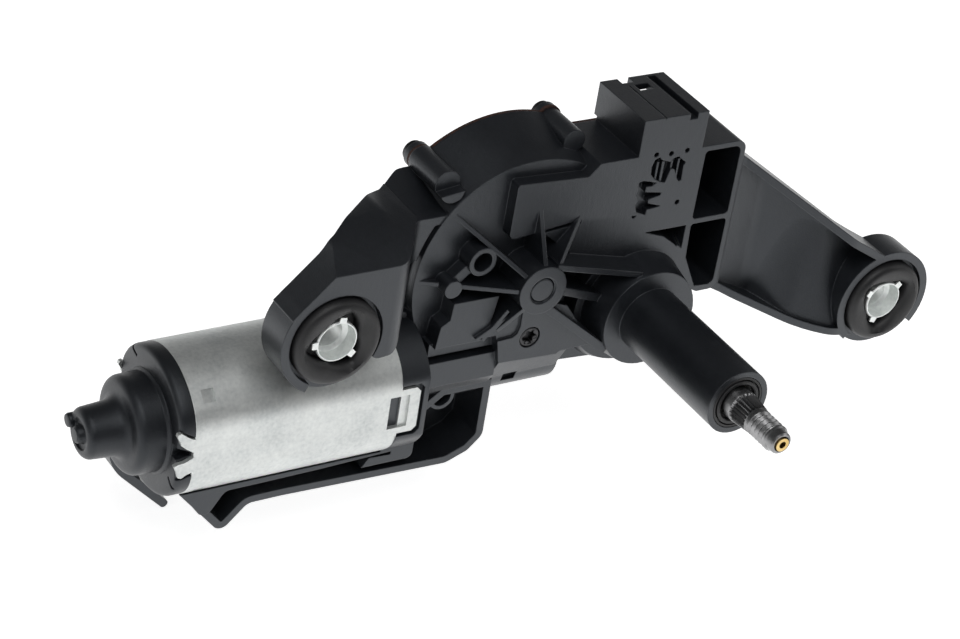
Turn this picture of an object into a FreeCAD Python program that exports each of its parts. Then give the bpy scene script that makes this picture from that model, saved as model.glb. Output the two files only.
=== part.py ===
import FreeCAD, Part
import Sketcher
import math
import os

# Rear wiper motor with a washer jet through its spindle.
# Frame: X along the motor axis (the can lies towards -X), Y away from the window glass,
# Z up, origin on the spindle axis where the spindle tube leaves its collar.

V = FreeCAD.Vector
X_AXIS = V(1, 0, 0)
Y_AXIS = V(0, 1, 0)
Z_AXIS = V(0, 0, 1)

doc = FreeCAD.newDocument("rear_wiper_motor")
sheet = doc.addObject("Spreadsheet::Sheet", "sizes")

SIZES = [
    # spindle, its tube and the washer jet
    ("collar_radius", 15.6), ("collar_depth", 6.0), ("tube_length", 46.2), ("tube_radius", 10.2),
    ("spindle_house_radius", 20.0), ("spindle_radius", 5.0), ("spindle_knurl_tip_radius", 4.3),
    ("spindle_knurl_length", 6.5), ("spindle_thread_radius", 4.0), ("spindle_thread_length", 10.5),
    ("spindle_stick_out", 3.0), ("spindle_bore_radius", 2.5), ("shaft_running_clearance", 0.03),
    ("bush_wall", 1.6), ("bush_length", 12.0), ("seal_radius", 8.4), ("seal_thickness", 2.4),
    ("jet_radius", 2.1), ("jet_bore_radius", 1.1), ("jet_stick_out", 2.2), ("nipple_length", 12.0),
    ("nipple_radius", 2.6),
    # gears
    ("spur_module", 1.5), ("spur_teeth", 28), ("spur_width", 5.6), ("hub_line_angle", 22.5),
    ("worm_module", 1.0), ("wheel_teeth", 56), ("worm_pitch_radius", 4.3), ("wheel_width", 6.6),
    ("tooth_backlash", 0.3), ("worm_y", 21.0), ("worm_turns", 6),
    ("gear_gap", 0.5), ("wheel_pin_radius", 4.0), ("wheel_hub_radius", 8.0),
    ("swing", 55),
    # gear housing
    ("wall", 2.4), ("disc_radius", 36.0), ("disc_front_y", 14.0), ("rim_radius", 41.4),
    ("rim_y", 33.0), ("hub_radius", 7.8), ("hub_face_y", 1.6), ("hub_recess_radius", 4.4),
    ("groove_width", 1.3), ("groove_depth", 4.0), ("rib_thickness", 1.3), ("rim_boss_radius", 4.2),
    ("cavity_gap", 0.6),
    # connector block and the open cells beside it
    ("plate_y", 10.0), ("block_left_x", -7.2), ("block_right_x", 15.2), ("block_top_z", 62.0),
    ("block_shelf_z", 50.2), ("block_rear_y", 34.5), ("shelf_left_x", -20.0),
    ("cells_right_x", 31.4), ("cells_top_z", 50.0), ("cells_mid_z", 24.4), ("cells_low_z", -1.2),
    ("cell_wall", 1.7), ("cells_floor_y", 31.0),
    # motor
    ("can_radius", 21.8), ("can_flat", 19.6), ("can_wall", 1.5), ("can_right_x", -81.6),
    ("can_length", 65.0), ("cap_rim", 4.6), ("dome_radius", 14.3), ("dome_length", 9.1),
    ("nose_radius", 7.4), ("nose_length", 11.7), ("latch_reach", 6.2), ("latch_half_width", 7.4), ("armature_radius", 13.2), ("armature_length", 30.0),
    ("motor_air_gap", 0.8), ("magnet_angle", 116), ("motor_shaft_radius", 2.5),
    ("commutator_radius", 8.0), ("commutator_length", 11.0), ("flange_thickness", 9.0),
    ("mid_bearing_radius", 5.2), ("end_bearing_radius", 3.7), ("end_bearing_length", 4.5),
    # mounts
    ("mount_ring_radius", 17.0), ("mount_ring_wall", 2.6), ("grommet_radius", 13.4),
    ("grommet_length", 12.0), ("grommet_neck_radius", 10.2), ("grommet_groove", 3.4),
    ("sleeve_radius", 5.8), ("sleeve_bore_radius", 4.3), ("grommet_seat_gap", 0.15),
    ("left_mount_x", -110.0), ("left_mount_z", 17.6), ("left_mount_y", -7.0),
    ("right_mount_x", 85.6), ("right_mount_z", -7.3), ("right_mount_y", -7.0),
    ("low_mount_x", -133.2), ("low_mount_z", -41.0), ("low_mount_y", 42.0),
    ("arm_wall", 2.4),
    # rear cover
    ("gasket_thickness", 1.0), ("cover_thickness", 2.0), ("screw_radius", 2.0), ("screw_head_radius", 3.3),
    ("screw_head_height", 1.9), ("screw_length", 12.0),
]
S = {}
for row, (alias, number) in enumerate(SIZES, start=1):
    sheet.set("A%d" % row, alias)
    sheet.set("B%d" % row, str(number))
    sheet.setAlias("B%d" % row, alias)
doc.recompute()
for alias, number in SIZES:
    S[alias] = float(sheet.get(alias))

HUB_X = -S["spur_module"] * S["spur_teeth"] * math.cos(math.radians(S["hub_line_angle"]))
HUB_Z = S["spur_module"] * S["spur_teeth"] * math.sin(math.radians(S["hub_line_angle"]))
WHEEL_PITCH_RADIUS = S["worm_module"] * S["wheel_teeth"] / 2
WORM_Y = S["worm_y"]
WORM_Z = HUB_Z - WHEEL_PITCH_RADIUS - S["worm_pitch_radius"]
HOUSING_INNER_Y = S["disc_front_y"] + S["wall"]
WHEEL_Y0 = WORM_Y - S["wheel_width"] / 2
WHEEL_Y1 = WORM_Y + S["wheel_width"] / 2
SPUR_Y0 = WHEEL_Y1 + S["gear_gap"]
SPUR_Y1 = SPUR_Y0 + S["spur_width"]
COVER_Y0 = S["rim_y"] + S["gasket_thickness"]
COVER_Y1 = COVER_Y0 + S["cover_thickness"]
CAN_LEFT_X = S["can_right_x"] - S["can_length"]
CAP_X = CAN_LEFT_X - S["cap_rim"]
DOME_X = CAP_X - S["dome_length"]
NOSE_X = DOME_X - S["nose_length"]
TUBE_END_Y = -S["tube_length"]
BUSH_RADIUS = S["spindle_radius"] + S["bush_wall"]
SPUR_TIP_RADIUS = S["spur_module"] * (S["spur_teeth"] / 2 + 1)


class Size:
    """A number together with the sheet expression that gives it."""

    def __init__(self, number, text):
        self.number = number
        self.text = text

    def __add__(self, other):
        other = sized(other)
        return Size(self.number + other.number, "(%s + %s)" % (self.text, other.text))

    def __sub__(self, other):
        other = sized(other)
        return Size(self.number - other.number, "(%s - %s)" % (self.text, other.text))

    def __mul__(self, other):
        other = sized(other)
        return Size(self.number * other.number, "(%s * %s)" % (self.text, other.text))

    def __truediv__(self, other):
        other = sized(other)
        return Size(self.number / other.number, "(%s / %s)" % (self.text, other.text))

    def __neg__(self):
        return Size(-self.number, "(-%s)" % self.text)


def sized(value):
    if isinstance(value, Size):
        return value
    return Size(float(value), repr(float(value)))


def v(alias):
    return Size(S[alias], "sizes.%s" % alias)


def cosine(angle):
    return Size(math.cos(math.radians(angle.number)), "cos(%s * 1 deg)" % angle.text)


def sine(angle):
    return Size(math.sin(math.radians(angle.number)), "sin(%s * 1 deg)" % angle.text)


hub_x = -(v("spur_module") * v("spur_teeth") * cosine(v("hub_line_angle")))
hub_z = v("spur_module") * v("spur_teeth") * sine(v("hub_line_angle"))
wheel_pitch_radius = v("worm_module") * v("wheel_teeth") / 2
worm_z = hub_z - wheel_pitch_radius - v("worm_pitch_radius")
inner_y = v("disc_front_y") + v("wall")
wheel_y0 = v("worm_y") - v("wheel_width") / 2
wheel_y1 = v("worm_y") + v("wheel_width") / 2
spur_y0 = wheel_y1 + v("gear_gap")
spur_y1 = spur_y0 + v("spur_width")
cover_y0 = v("rim_y") + v("gasket_thickness")
cover_y1 = cover_y0 + v("cover_thickness")
can_left_x = v("can_right_x") - v("can_length")
cap_x = can_left_x - v("cap_rim")
dome_x = cap_x - v("dome_length")
nose_x = dome_x - v("nose_length")
bush_radius = v("spindle_radius") + v("bush_wall")

NODES = []
FLANK_SLOPE = 0.36


def bind_point(sketch, index, point_x, point_y):
    """Tie the start of one line to its two sheet expressions, measured from the sketch origin."""
    for kind, size in (("DistanceX", point_x), ("DistanceY", point_y)):
        number = sketch.addConstraint(Sketcher.Constraint(kind, -1, 1, index, 1, size.number))
        sketch.setExpression("Constraints[%d]" % number, size.text)


def closed_sketch(body, role, points):
    """A closed outline of straight lines in the body's own origin plane."""
    plane = [item for item in body.Origin.OriginFeatures if item.Role == role][0]
    sketch = body.newObject("Sketcher::SketchObject", body.Name + "_sketch")
    sketch.AttachmentSupport = (plane, [""])
    sketch.MapMode = "FlatFace"
    corners = [(sized(a), sized(b)) for a, b in points]
    vectors = [V(a.number, b.number, 0) for a, b in corners]
    count = len(vectors)
    for index in range(count):
        sketch.addGeometry(Part.LineSegment(vectors[index], vectors[(index + 1) % count]))
    for index in range(count):
        sketch.addConstraint(Sketcher.Constraint("Coincident", index, 2, (index + 1) % count, 1))
    for index, (a, b) in enumerate(corners):
        bind_point(sketch, index, a, b)
    return sketch


def place(item, x, y, z):
    for axis, size in zip("xyz", (x, y, z)):
        size = sized(size)
        setattr(item.Placement.Base, axis, size.number)
        item.setExpression("Placement.Base.%s" % axis, size.text)


def turned(label, points, x=0, y=0, z=0, along="Y"):
    """A turned piece: (radius, height) corners about Y, or (height, radius) corners about X."""
    body = doc.addObject("PartDesign::Body", label)
    body.Label = label
    sketch = closed_sketch(body, "XY_Plane", points)
    turn = body.newObject("PartDesign::Revolution", label + "_turn")
    turn.Profile = sketch
    turn.ReferenceAxis = (sketch, ["V_Axis" if along == "Y" else "H_Axis"])
    turn.Angle = 360
    sketch.Visibility = False
    place(body, x, y, z)
    NODES.append(body)
    return body


def feature(label, shape):
    item = doc.addObject("Part::Feature", label)
    item.Label = label
    item.Shape = shape
    NODES.append(item)
    return item


def cyl_y(x, z, radius, y0, y1):
    return Part.makeCylinder(radius, y1 - y0, V(x, y0, z), Y_AXIS)


def cone_y(x, z, radius0, radius1, y0, y1):
    return Part.makeCone(radius0, radius1, y1 - y0, V(x, y0, z), Y_AXIS)


def cyl_x(y, z, radius, x0, x1):
    return Part.makeCylinder(radius, x1 - x0, V(x0, y, z), X_AXIS)


def cone_x(y, z, radius0, radius1, x0, x1):
    return Part.makeCone(radius0, radius1, x1 - x0, V(x0, y, z), X_AXIS)


def box(x0, x1, y0, y1, z0, z1):
    return Part.makeBox(x1 - x0, y1 - y0, z1 - z0, V(x0, y0, z0))


def outline(points, to_3d):
    """A face whose corners are (a, b) or (a, b, radius); a radius rounds its corner."""
    corners = [(p[0], p[1], p[2] if len(p) > 2 else 0.0) for p in points]
    count = len(corners)
    stations = []
    for index in range(count):
        here = V(corners[index][0], corners[index][1], 0)
        before = V(corners[index - 1][0], corners[index - 1][1], 0)
        after = V(corners[(index + 1) % count][0], corners[(index + 1) % count][1], 0)
        radius = corners[index][2]
        if radius <= 0:
            stations.append((here, here, here))
            continue
        back = (before - here).normalize()
        ahead = (after - here).normalize()
        half = back.getAngle(ahead) / 2
        reach = radius / math.tan(half)
        middle = (back + ahead).normalize()
        centre = here + middle * (radius / math.sin(half))
        stations.append((here + back * reach, centre - middle * radius, here + ahead * reach))
    edges = []
    for index in range(count):
        first, bulge, last = stations[index]
        if (last - first).Length > 1e-6:
            edges.append(Part.Arc(to_3d(first), to_3d(bulge), to_3d(last)).toShape())
        following = stations[(index + 1) % count][0]
        if (following - last).Length > 1e-6:
            edges.append(Part.LineSegment(to_3d(last), to_3d(following)).toShape())
    return Part.Face(Part.Wire(edges))


def prism_y(points, y0, y1, inset=0.0):
    """An XZ outline, optionally shrunk by a wall, extruded along Y."""
    face = outline(points, lambda p: V(p.x, y0, p.y))
    if inset:
        face = face.makeOffset2D(-inset)
    return face.extrude(V(0, y1 - y0, 0))


def prism_z(points, z0, z1):
    """An XY outline extruded along Z."""
    return outline(points, lambda p: V(p.x, p.y, z0)).extrude(V(0, 0, z1 - z0))


def prism_x(points, x0, x1):
    """A YZ outline extruded along X."""
    return outline(points, lambda p: V(x0, p.x, p.y)).extrude(V(x1 - x0, 0, 0))


def fused(shapes):
    return shapes[0].multiFuse(shapes[1:]).removeSplitter()


def wall_between(p0, p1, thickness, low, high0, high1):
    """A rib standing on Y = low between two XZ points, with its crest at high0 and high1."""
    start = V(p0[0], 0, p0[1])
    along = V(p1[0], 0, p1[1]) - start
    length = along.Length
    along.normalize()
    side = V(along.z, 0, -along.x) * thickness
    base = start - side * 0.5
    corners = [base + V(0, low, 0), base + V(0, high0, 0)]
    corners.append(base + along * length + V(0, high1, 0))
    corners.append(base + along * length + V(0, low, 0))
    return Part.Face(Part.makePolygon(corners + [corners[0]])).extrude(side)


def polar(centre_x, centre_z, radius, angle):
    turn = math.radians(angle)
    return (centre_x + radius * math.cos(turn), centre_z + radius * math.sin(turn))


def double_d(radius, flat, x0, x1):
    """The can's section, a circle with a flat on its front and on its rear."""
    barrel = cyl_x(WORM_Y, WORM_Z, radius, x0, x1)
    band = box(x0, x1, WORM_Y - flat, WORM_Y + flat, WORM_Z - 2 * radius, WORM_Z + 2 * radius)
    return barrel.common(band)


# the gears
def gear_outline(module, teeth, backlash, phase, y):
    """A closed tooth outline about the origin, in the plane Y = y."""
    pitch = module * teeth / 2
    tip = pitch + module
    root = pitch - 1.25 * module
    quarter = math.pi / 2 / teeth
    thin = backlash / 2 / pitch
    corners = []
    for index in range(int(teeth)):
        centre = phase + 2 * math.pi * index / teeth
        half_root = quarter * 1.62 - thin
        half_pitch = quarter - thin
        half_tip = quarter * 0.42 - thin * 0.5
        for radius, offset in ((root, -half_root), (pitch, -half_pitch), (tip, -half_tip),
                               (tip, half_tip), (pitch, half_pitch), (root, half_root)):
            turn = centre + offset
            corners.append(V(radius * math.cos(turn), y, radius * math.sin(turn)))
    return Part.makePolygon(corners + [corners[0]])


def spur_gear(x, z, phase, y0, y1):
    wire = gear_outline(S["spur_module"], S["spur_teeth"], S["tooth_backlash"], phase, y0)
    gear = Part.Face(wire).extrude(V(0, y1 - y0, 0))
    gear.translate(V(x, 0, z))
    return gear


def helical_wheel(y0, y1, twist):
    low = gear_outline(S["worm_module"], S["wheel_teeth"], S["tooth_backlash"], -math.pi / 2 - twist, y0)
    high = gear_outline(S["worm_module"], S["wheel_teeth"], S["tooth_backlash"], -math.pi / 2 + twist, y1)
    return Part.makeLoft([low, high], True, True)


def worm_thread(turns, pitch_radius, module, backlash):
    """A helical thread about X, centred on x = 0, with its root sunk into the core."""
    lead = math.pi * module
    height = lead * turns
    root = pitch_radius - 1.5 * module
    tip = pitch_radius + module
    half_root = lead / 4 + FLANK_SLOPE * (pitch_radius - root) - backlash / 2
    half_tip = lead / 4 - FLANK_SLOPE * module - backlash / 2
    helix = Part.makeHelix(lead, height, pitch_radius)
    corners = [V(root, 0, -half_root), V(tip, 0, -half_tip), V(tip, 0, half_tip), V(root, 0, half_root)]
    profile = Part.makePolygon(corners + corners[:1])
    thread = Part.Wire(helix).makePipeShell([profile], True, True)
    thread.translate(V(0, 0, -height / 2))
    thread.rotate(V(0, 0, 0), Y_AXIS, 90)
    return thread


# the gear housing, one moulding with its three arms
LEFT = (S["left_mount_x"], S["left_mount_z"], S["left_mount_y"])
RIGHT = (S["right_mount_x"], S["right_mount_z"], S["right_mount_y"])
LOW = (S["low_mount_x"], S["low_mount_z"], S["low_mount_y"])
RING = S["mount_ring_radius"]
RING_LIP = 2.0
RING_DEPTH = S["grommet_length"] - 0.5
SPINDLE_HOUSE_REAR = SPUR_TIP_RADIUS + S["cavity_gap"] + S["wall"] - 0.2
PLATE_REAR = S["rim_y"]
MID_BEARING_X = -72.0
END_BEARING_X = -29.0
ROOM_X0, ROOM_X1 = -7.5, S["block_right_x"] - 2.0
ROOM_Y0 = S["plate_y"] + 2.6
ROOM_Z0, ROOM_Z1 = 26.6, S["block_shelf_z"] - 2.2
SOCKET_Y0 = S["plate_y"] + 3.0
SOCKET_Z0, SOCKET_Z1 = S["block_shelf_z"] + 1.6, S["block_top_z"] - 2.0
BOARD_Y = 27.0


def on_flats(points, depth, lift=0.0):
    """An XZ outline on both flats of the can: (x from the can's end, z from its axis), sunk by depth."""
    face = [(p[0], WORM_Z + p[1]) + tuple(p[2:]) for p in points]
    front = WORM_Y - S["can_flat"]
    rear = WORM_Y + S["can_flat"]
    return fused([prism_y(face, front - lift, front + depth), prism_y(face, rear - depth, rear + lift)])


def latch_tab(grow, depth, lift=0.0):
    """The tab at the can's right end that holds the gear housing's flange."""
    right = S["can_right_x"]
    reach = right + S["latch_reach"] + grow
    half = S["latch_half_width"] + grow
    return on_flats([(right - 1, -half), (right - 1, half), (reach - 1.5, half), (reach, half - 1.5),
                     (reach, 1.5 - half), (reach - 1.5, -half)], depth, lift)


def claw_prongs():
    """The split claw at the can's left end that is folded over the end cap."""
    left = CAN_LEFT_X
    upper = [(left + 1, 4.6), (left - 4.2, 8.0, 0.6), (left - 5.2, 7.0, 0.6), (left - 3.8, 4.0, 0.6), (left + 1, 0.4)]
    lower = [(left + 1, -0.4), (left - 5.4, -2.6, 0.6), (left - 3.8, -6.6, 0.8), (left + 1, -5.4)]
    return fused([on_flats(upper, S["can_wall"]), on_flats(lower, S["can_wall"])])


def motor_clearance(x0):
    """Room for the motor can and its flange behind the gear room's rim."""
    return cyl_x(WORM_Y, WORM_Z, S["can_radius"] + 0.8, x0, S["can_right_x"] + S["flange_thickness"] + 0.6)


def connector_pin_shapes():
    """Four bent blades: one end stands in the socket, the other on the board."""
    pins = []
    for index in range(4):
        x0 = -4.4 + index * 4.6
        pins.append(fused([box(x0, x0 + 2.0, 17.0, 29.0, 56.2, 57.0), box(x0, x0 + 2.0, 17.0, 17.8, 46.0, 57.0),
                           box(x0, x0 + 2.0, 17.0, BOARD_Y, 46.0, 46.8)]))
    return pins


def case_outline(y0, y1, grow):
    """The shape that the rim, the gasket and the cover share."""
    top_z = S["block_shelf_z"] + grow
    left = S["shelf_left_x"] - grow
    right = S["block_right_x"] + 2.0 + grow
    return fused([
        cyl_y(HUB_X, HUB_Z, S["rim_radius"] + grow, y0, y1),
        cyl_y(0, 0, SPINDLE_HOUSE_REAR + grow, y0, y1),
        prism_y([(left, top_z), (right, top_z), (right, 0), (0, -SPINDLE_HOUSE_REAR - grow),
                 (HUB_X, HUB_Z - S["rim_radius"] - grow + 6.0), (HUB_X, HUB_Z)], y0, y1)])


def mount_ring(centre, opening, lips):
    """A C-shaped holder about a grommet: an open ring with a web that grips the grommet's groove."""
    x, z, y = centre
    y0 = y + RING_LIP
    y1 = y0 + RING_DEPTH
    ring = cyl_y(x, z, RING, y0, y1).cut(cyl_y(x, z, RING - S["mount_ring_wall"], y0, y1))
    far = 3 * RING
    wedge = [(x, z)] + [(x + far * math.cos(math.radians(a)), z + far * math.sin(math.radians(a)))
                        for a in (opening[0], sum(opening) / 2, opening[1])]
    ring = ring.cut(prism_y(wedge, y0, y1))
    middle = y + S["grommet_length"] / 2
    half = S["grommet_groove"] / 2 - S["grommet_seat_gap"]
    web = cyl_y(x, z, RING - 0.8, middle - half, middle + half)
    return ring.fuse([web] + lips)


def mount_bore(centre):
    x, z, y = centre
    return cyl_y(x, z, S["grommet_neck_radius"] + S["grommet_seat_gap"], y - 8, y + S["grommet_length"] + 8)


def mount_space(centre):
    """The room of the grommet inside its holder, in front of the web and behind it."""
    x, z, y = centre
    middle = y + S["grommet_length"] / 2
    half = S["grommet_groove"] / 2 - S["grommet_seat_gap"]
    inner = RING - S["mount_ring_wall"]
    return [cyl_y(x, z, inner, y - 12, middle - half), cyl_y(x, z, inner, middle + half, y + 60)]


def left_arm():
    x, z, y = LEFT
    front = y + RING_LIP
    rear = front + RING_DEPTH
    side = [(-62, 46, 0), (-83, 43.4), (-90.5, 46.2, 6), (-101.8, 45.6, 6), (-109.2, 43.0, 3),
            (-112.0, 39.4), (-124.6, 27.0), (x - 12, z + 2, 2), (x + 2, z + 2), (-96.5, 9.0, 3),
            (-88.5, 9.8, 4), (-89.5, 24, 8), (-70, 26)]
    depth = [(x - 30, front), (-90, front, 6), (-77, S["disc_front_y"] + 0.4, 4), (-60, S["disc_front_y"] + 0.4),
             (-60, S["rim_y"]), (-74, S["rim_y"], 3), (x + 1, rear, 8), (x - 30, rear)]
    body = prism_y(side, -30, 60).common(prism_z(depth, -30, 80))
    wall = S["arm_wall"]
    depth_in = [(x - 40, front + wall), (-89, front + wall, 4), (-75.5, S["disc_front_y"] + wall + 1),
                (-60, S["disc_front_y"] + wall + 1), (-60, 70), (x - 40, 70)]
    hollow = prism_y(side, -30, 70, wall).common(prism_z(depth_in, -30, 80))
    web = prism_y([(-94, 20), (-92, 20), (-84, 50), (-86, 50)], front + 1, S["rim_y"])
    top = [(-30, 27.6), (-5, 38.6), (27.5, 53), (27.5, 80), (-30, 80)]
    body = body.cut(prism_x(top, x - 40, -60))
    hollow = hollow.cut(prism_x([(a, b - wall - 0.4) for a, b in top], x - 40, -60))
    return body, hollow, web.common(body)


def right_arm():
    x, z, y = RIGHT
    front = y + RING_LIP
    rear = front + RING_DEPTH
    x0 = S["cells_right_x"] - 2.5
    side = [(x0, 47), (31.5, 44.6, 2), (70, 16.8, 10), (x - 3, z + RING - 0.6, 5), (x + 6, z + 8), (x, z - 3),
            (x - 6, z - 11.5, 2), (72.3, -17.4, 3), (59, -15.3, 60), (37, -5.2, 40), (x0, -1.0)]
    depth = [(x0, S["plate_y"] + 0.6), (33, S["plate_y"], 2), (68, front, 12), (x + 30, front), (x + 30, rear),
             (72, rear, 10), (34, S["rim_y"], 4), (x0, S["rim_y"])]
    body = prism_y(side, -30, 60).common(prism_z(depth, -60, 80))
    wall = S["arm_wall"]
    inner = prism_y(side, -40, 70, wall)
    web_y0 = 9.2
    front_cut = [(x0 + 3, -40), (x0 + 3, S["plate_y"] + 2.4), (44, S["plate_y"] + 3.6, 6), (64, web_y0 - 4.6, 8),
                 (x + 40, web_y0 - 6.6), (x + 40, -40)]
    rear_cut = [(x0 + 3, 70), (x0 + 3, S["plate_y"] + 5.2), (44, S["plate_y"] + 6.4, 6), (66, web_y0 - 1.6, 8),
                (x + 40, web_y0 - 4.0), (x + 40, 70)]
    hollow = inner.common(prism_z(front_cut, -60, 80)).fuse(inner.common(prism_z(rear_cut, -60, 80)))
    return body, hollow


def low_arm():
    x, z, y = LOW
    ring_front = y + RING_LIP
    side = [(-45.4, -18), (-45.4, -38, 4), (-50, -42.6, 4), (-57, -45.4, 6), (-112, -44.0, 14),
            (-122.6, -44.1, 4), (-130.6, -52.4, 3), (-145.5, -35.2), (-145.5, -24), (-70, -24), (-62, -18)]
    depth = [(-158, S["plate_y"]), (-40, S["plate_y"]), (-40, 32), (-104, 34, 10), (-118, ring_front + 6, 6),
             (-158, ring_front + 6)]
    body = prism_y(side, 0, 70).common(prism_z(depth, -80, 0))
    wall = S["arm_wall"]
    inner = prism_y(side, -10, 80, wall)
    front_cut = inner.common(box(-150, -40, 0, 23.5, -80, 0))
    rear_cut = inner.common(box(-150, -40, 26.0, 80, -80, 0))
    gusset = prism_y([(-146, -24), (-146, -33.6), (-136.4, -46.4, 2.6), (-130.6, -37.6, 3), (-119, -37.5),
                      (-101, -37.2), (-72, -36.2), (-72, -24)], S["plate_y"] - 0.4, S["plate_y"] + 2.0)
    return body, front_cut.fuse(rear_cut), gusset


def make_housing():
    wall = S["wall"]
    front = S["disc_front_y"]
    block_left = S["block_left_x"]
    block_right = S["block_right_x"]
    case = [
        cone_y(HUB_X, HUB_Z, S["disc_radius"], S["rim_radius"], front, PLATE_REAR),
        case_outline(PLATE_REAR - 3.0, PLATE_REAR, -1.0),
        cone_y(0, 0, S["collar_radius"], S["collar_radius"] + 2.2, 0, S["collar_depth"] * 2),
        cone_y(0, 0, S["spindle_house_radius"], SPINDLE_HOUSE_REAR, S["plate_y"], SPUR_Y0 - 2.5),
        cyl_y(0, 0, SPINDLE_HOUSE_REAR, SPUR_Y0 - 2.5, PLATE_REAR),
        prism_y([(-36, 30), (-23.5, 31), (-23.5, 46.5), (S["shelf_left_x"], S["block_shelf_z"]),
                 (block_left, S["block_shelf_z"]), (block_left, S["block_top_z"]),
                 (block_right, S["block_top_z"]), (block_right, 23.6), (-1.5, 23.6), (0, 0),
                 (-24, 20)], S["plate_y"], PLATE_REAR),
        prism_y([(HUB_X, HUB_Z - 34), (0, -20.5), (0, 20), (-24, 24)], front, PLATE_REAR),
        prism_y([(block_left, S["block_shelf_z"] + 1.2), (block_left, S["block_top_z"]),
                 (block_right, S["block_top_z"]), (block_right, S["block_shelf_z"] + 1.2)],
                S["plate_y"], S["block_rear_y"]),
        # platform under the hub, joined to the worm barrel
        prism_y([(HUB_X + 1, HUB_Z - 6), (-55.8, -0.2), (-48.8, -0.4), (-47.0, -9.8), (-26.9, -10.7),
                 (-25.6, -9.7), (-14.5, -9.6), (-26, 6)], 6.0, 24.0),
        cyl_x(WORM_Y, WORM_Z, 10.4, -76.0, -22.5),
        prism_x([(8.0, WORM_Z + 9.4), (8.0, WORM_Z + 1.0), (12.0, WORM_Z - 5.4, 3), (WORM_Y, WORM_Z - 6),
                 (WORM_Y, WORM_Z + 9.4)], -76.0, -46.6),
        prism_x([(6.4, -10.0), (10.5, -17.8, 3), (16.5, -24.8, 3), (WORM_Y, -26.4), (WORM_Y, -10.0)], -46.6, -23.2),
        # raised block over the worm wheel
        prism_y([(-64.1, 12.7), (-49.1, 12.6), (-51.6, -1.9), (-68.4, -1.9), (-67.4, 5.4), (-64.6, 7.2)], 8.0, 17.0),
        # pad beside the connector block
        prism_y([(-47.6, 29.4, 2), (-47.4, 47.7, 1), (-22.6, 46.4, 1), (-22.6, 32.4, 1)], S["plate_y"], front + 1),
        cyl_y(HUB_X, HUB_Z, S["hub_radius"], S["hub_face_y"], front + wall),
        cyl_y(-56.6, 25.2, 4.5, 8.0, front + 1),
        cyl_y(-65.2, 17.6, 2.8, 8.0, front + 1),
        wall_between((-56.6, 25.2), (-65.2, 17.6), 3.2, front + 0.5, 10.0, 10.0),
    ]
    crest = S["hub_face_y"] + 0.6
    ribs = [(139, 34.0, front), (88.5, 22.0, 10.0), (49, 22.8, 10.0), (230, 22.5, 6.2), (177, 34.5, front)]
    for angle, reach, end_y in ribs:
        start = polar(HUB_X, HUB_Z, S["hub_radius"] - 1, angle)
        end = polar(HUB_X, HUB_Z, reach, angle)
        case.append(wall_between(start, end, S["rib_thickness"], front + 1, crest, end_y))
    ring = S["collar_radius"]
    case.append(wall_between((-34.6, 22.6), (-4.6, 15.2), 1.8, front + 1, crest, 1.2))
    case.append(wall_between((-31.5, 14.2), (-14.0, 6.0), 2.6, front + 1, crest, 6.0))
    case.append(wall_between((HUB_X + 3, HUB_Z - 7), (-ring * 0.82, -ring * 0.6), 2.6, front + 1, crest, 1.2))
    for angle, inset, radius, y0 in ((131.6, 0.4, S["rim_boss_radius"], 17.8), (68.5, 1.5, S["rim_boss_radius"] - 0.6, 19.0)):
        bx, bz = polar(HUB_X, HUB_Z, S["rim_radius"] - inset, angle)
        case.append(cyl_y(bx, bz, radius, y0, PLATE_REAR))
        for side in (-1, 1):
            foot = polar(HUB_X, HUB_Z, S["rim_radius"] - 5.5, angle + side * 4.5)
            case.append(wall_between((bx, bz), foot, 1.2, PLATE_REAR - 2, y0 + 1.5, y0 + 1.0))
    # open cells beside the connector block
    cells_x0 = block_right
    cell = [(cells_x0, S["cells_top_z"]), (S["cells_right_x"], S["cells_top_z"], 3.2),
            (S["cells_right_x"], S["cells_low_z"], 3.2), (24.0, S["cells_low_z"]), (10, 6), (cells_x0, 24)]
    case.append(prism_y(cell, S["plate_y"], PLATE_REAR))
    left_body, left_hollow, left_web = left_arm()
    right_body, right_hollow = right_arm()
    low_body, low_hollow, gusset = low_arm()
    x, z, y = LEFT
    left_lip = []
    x, z, y = LOW
    ring_mid = RING - S["mount_ring_wall"] / 2
    tangent = polar(x, z, RING, 225)
    inner = polar(x, z, RING - S["mount_ring_wall"], 225)
    leg = 20.5 / math.sqrt(2)
    low_leg = prism_y([tangent, (tangent[0] + leg, tangent[1] - leg, 1.2),
                       (inner[0] + leg, inner[1] - leg, 1.2), inner],
                      y + RING_LIP, y + RING_LIP + RING_DEPTH)
    arms = left_body.fuse([right_body, low_body])
    arms = arms.cut(left_hollow.fuse([right_hollow, low_hollow]))
    arms = arms.fuse([left_web, gusset])
    arms = arms.cut(fused(mount_space(LEFT)).fuse(mount_space(RIGHT)).fuse(mount_space(LOW)))
    rings = [mount_ring(LEFT, (242, 330), []), mount_ring(RIGHT, (224, 322), []),
             mount_ring(LOW, (232, 330), [low_leg])]
    motor_room = cyl_x(WORM_Y, WORM_Z, S["can_radius"] + 0.7, -200, S["can_right_x"] + 1)
    arms = arms.fuse(rings).cut(motor_room)
    flange = double_d(S["can_radius"], S["can_flat"], S["can_right_x"], S["can_right_x"] + S["flange_thickness"])
    spigot = double_d(S["can_radius"] - S["can_wall"], S["can_flat"] - S["can_wall"], S["can_right_x"] - 3.0,
                      S["can_right_x"] + 1)
    neck = cone_x(WORM_Y, WORM_Z, 16.0, 10.4, S["can_right_x"] + 2, -68.0)
    foot = prism_y([(-86.4, -40.1), (-84.2, -37.1), (-77, -37.4), (-77, -35), (-69.5, -33), (-69.6, -40.1, 2)], 9.6, 21.0)
    hook = cyl_y(-61.6, -21.3, 4.2, 10.5, 14.5).cut(cyl_y(-61.6, -21.3, 3.0, 10.5, 14.5))
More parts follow.
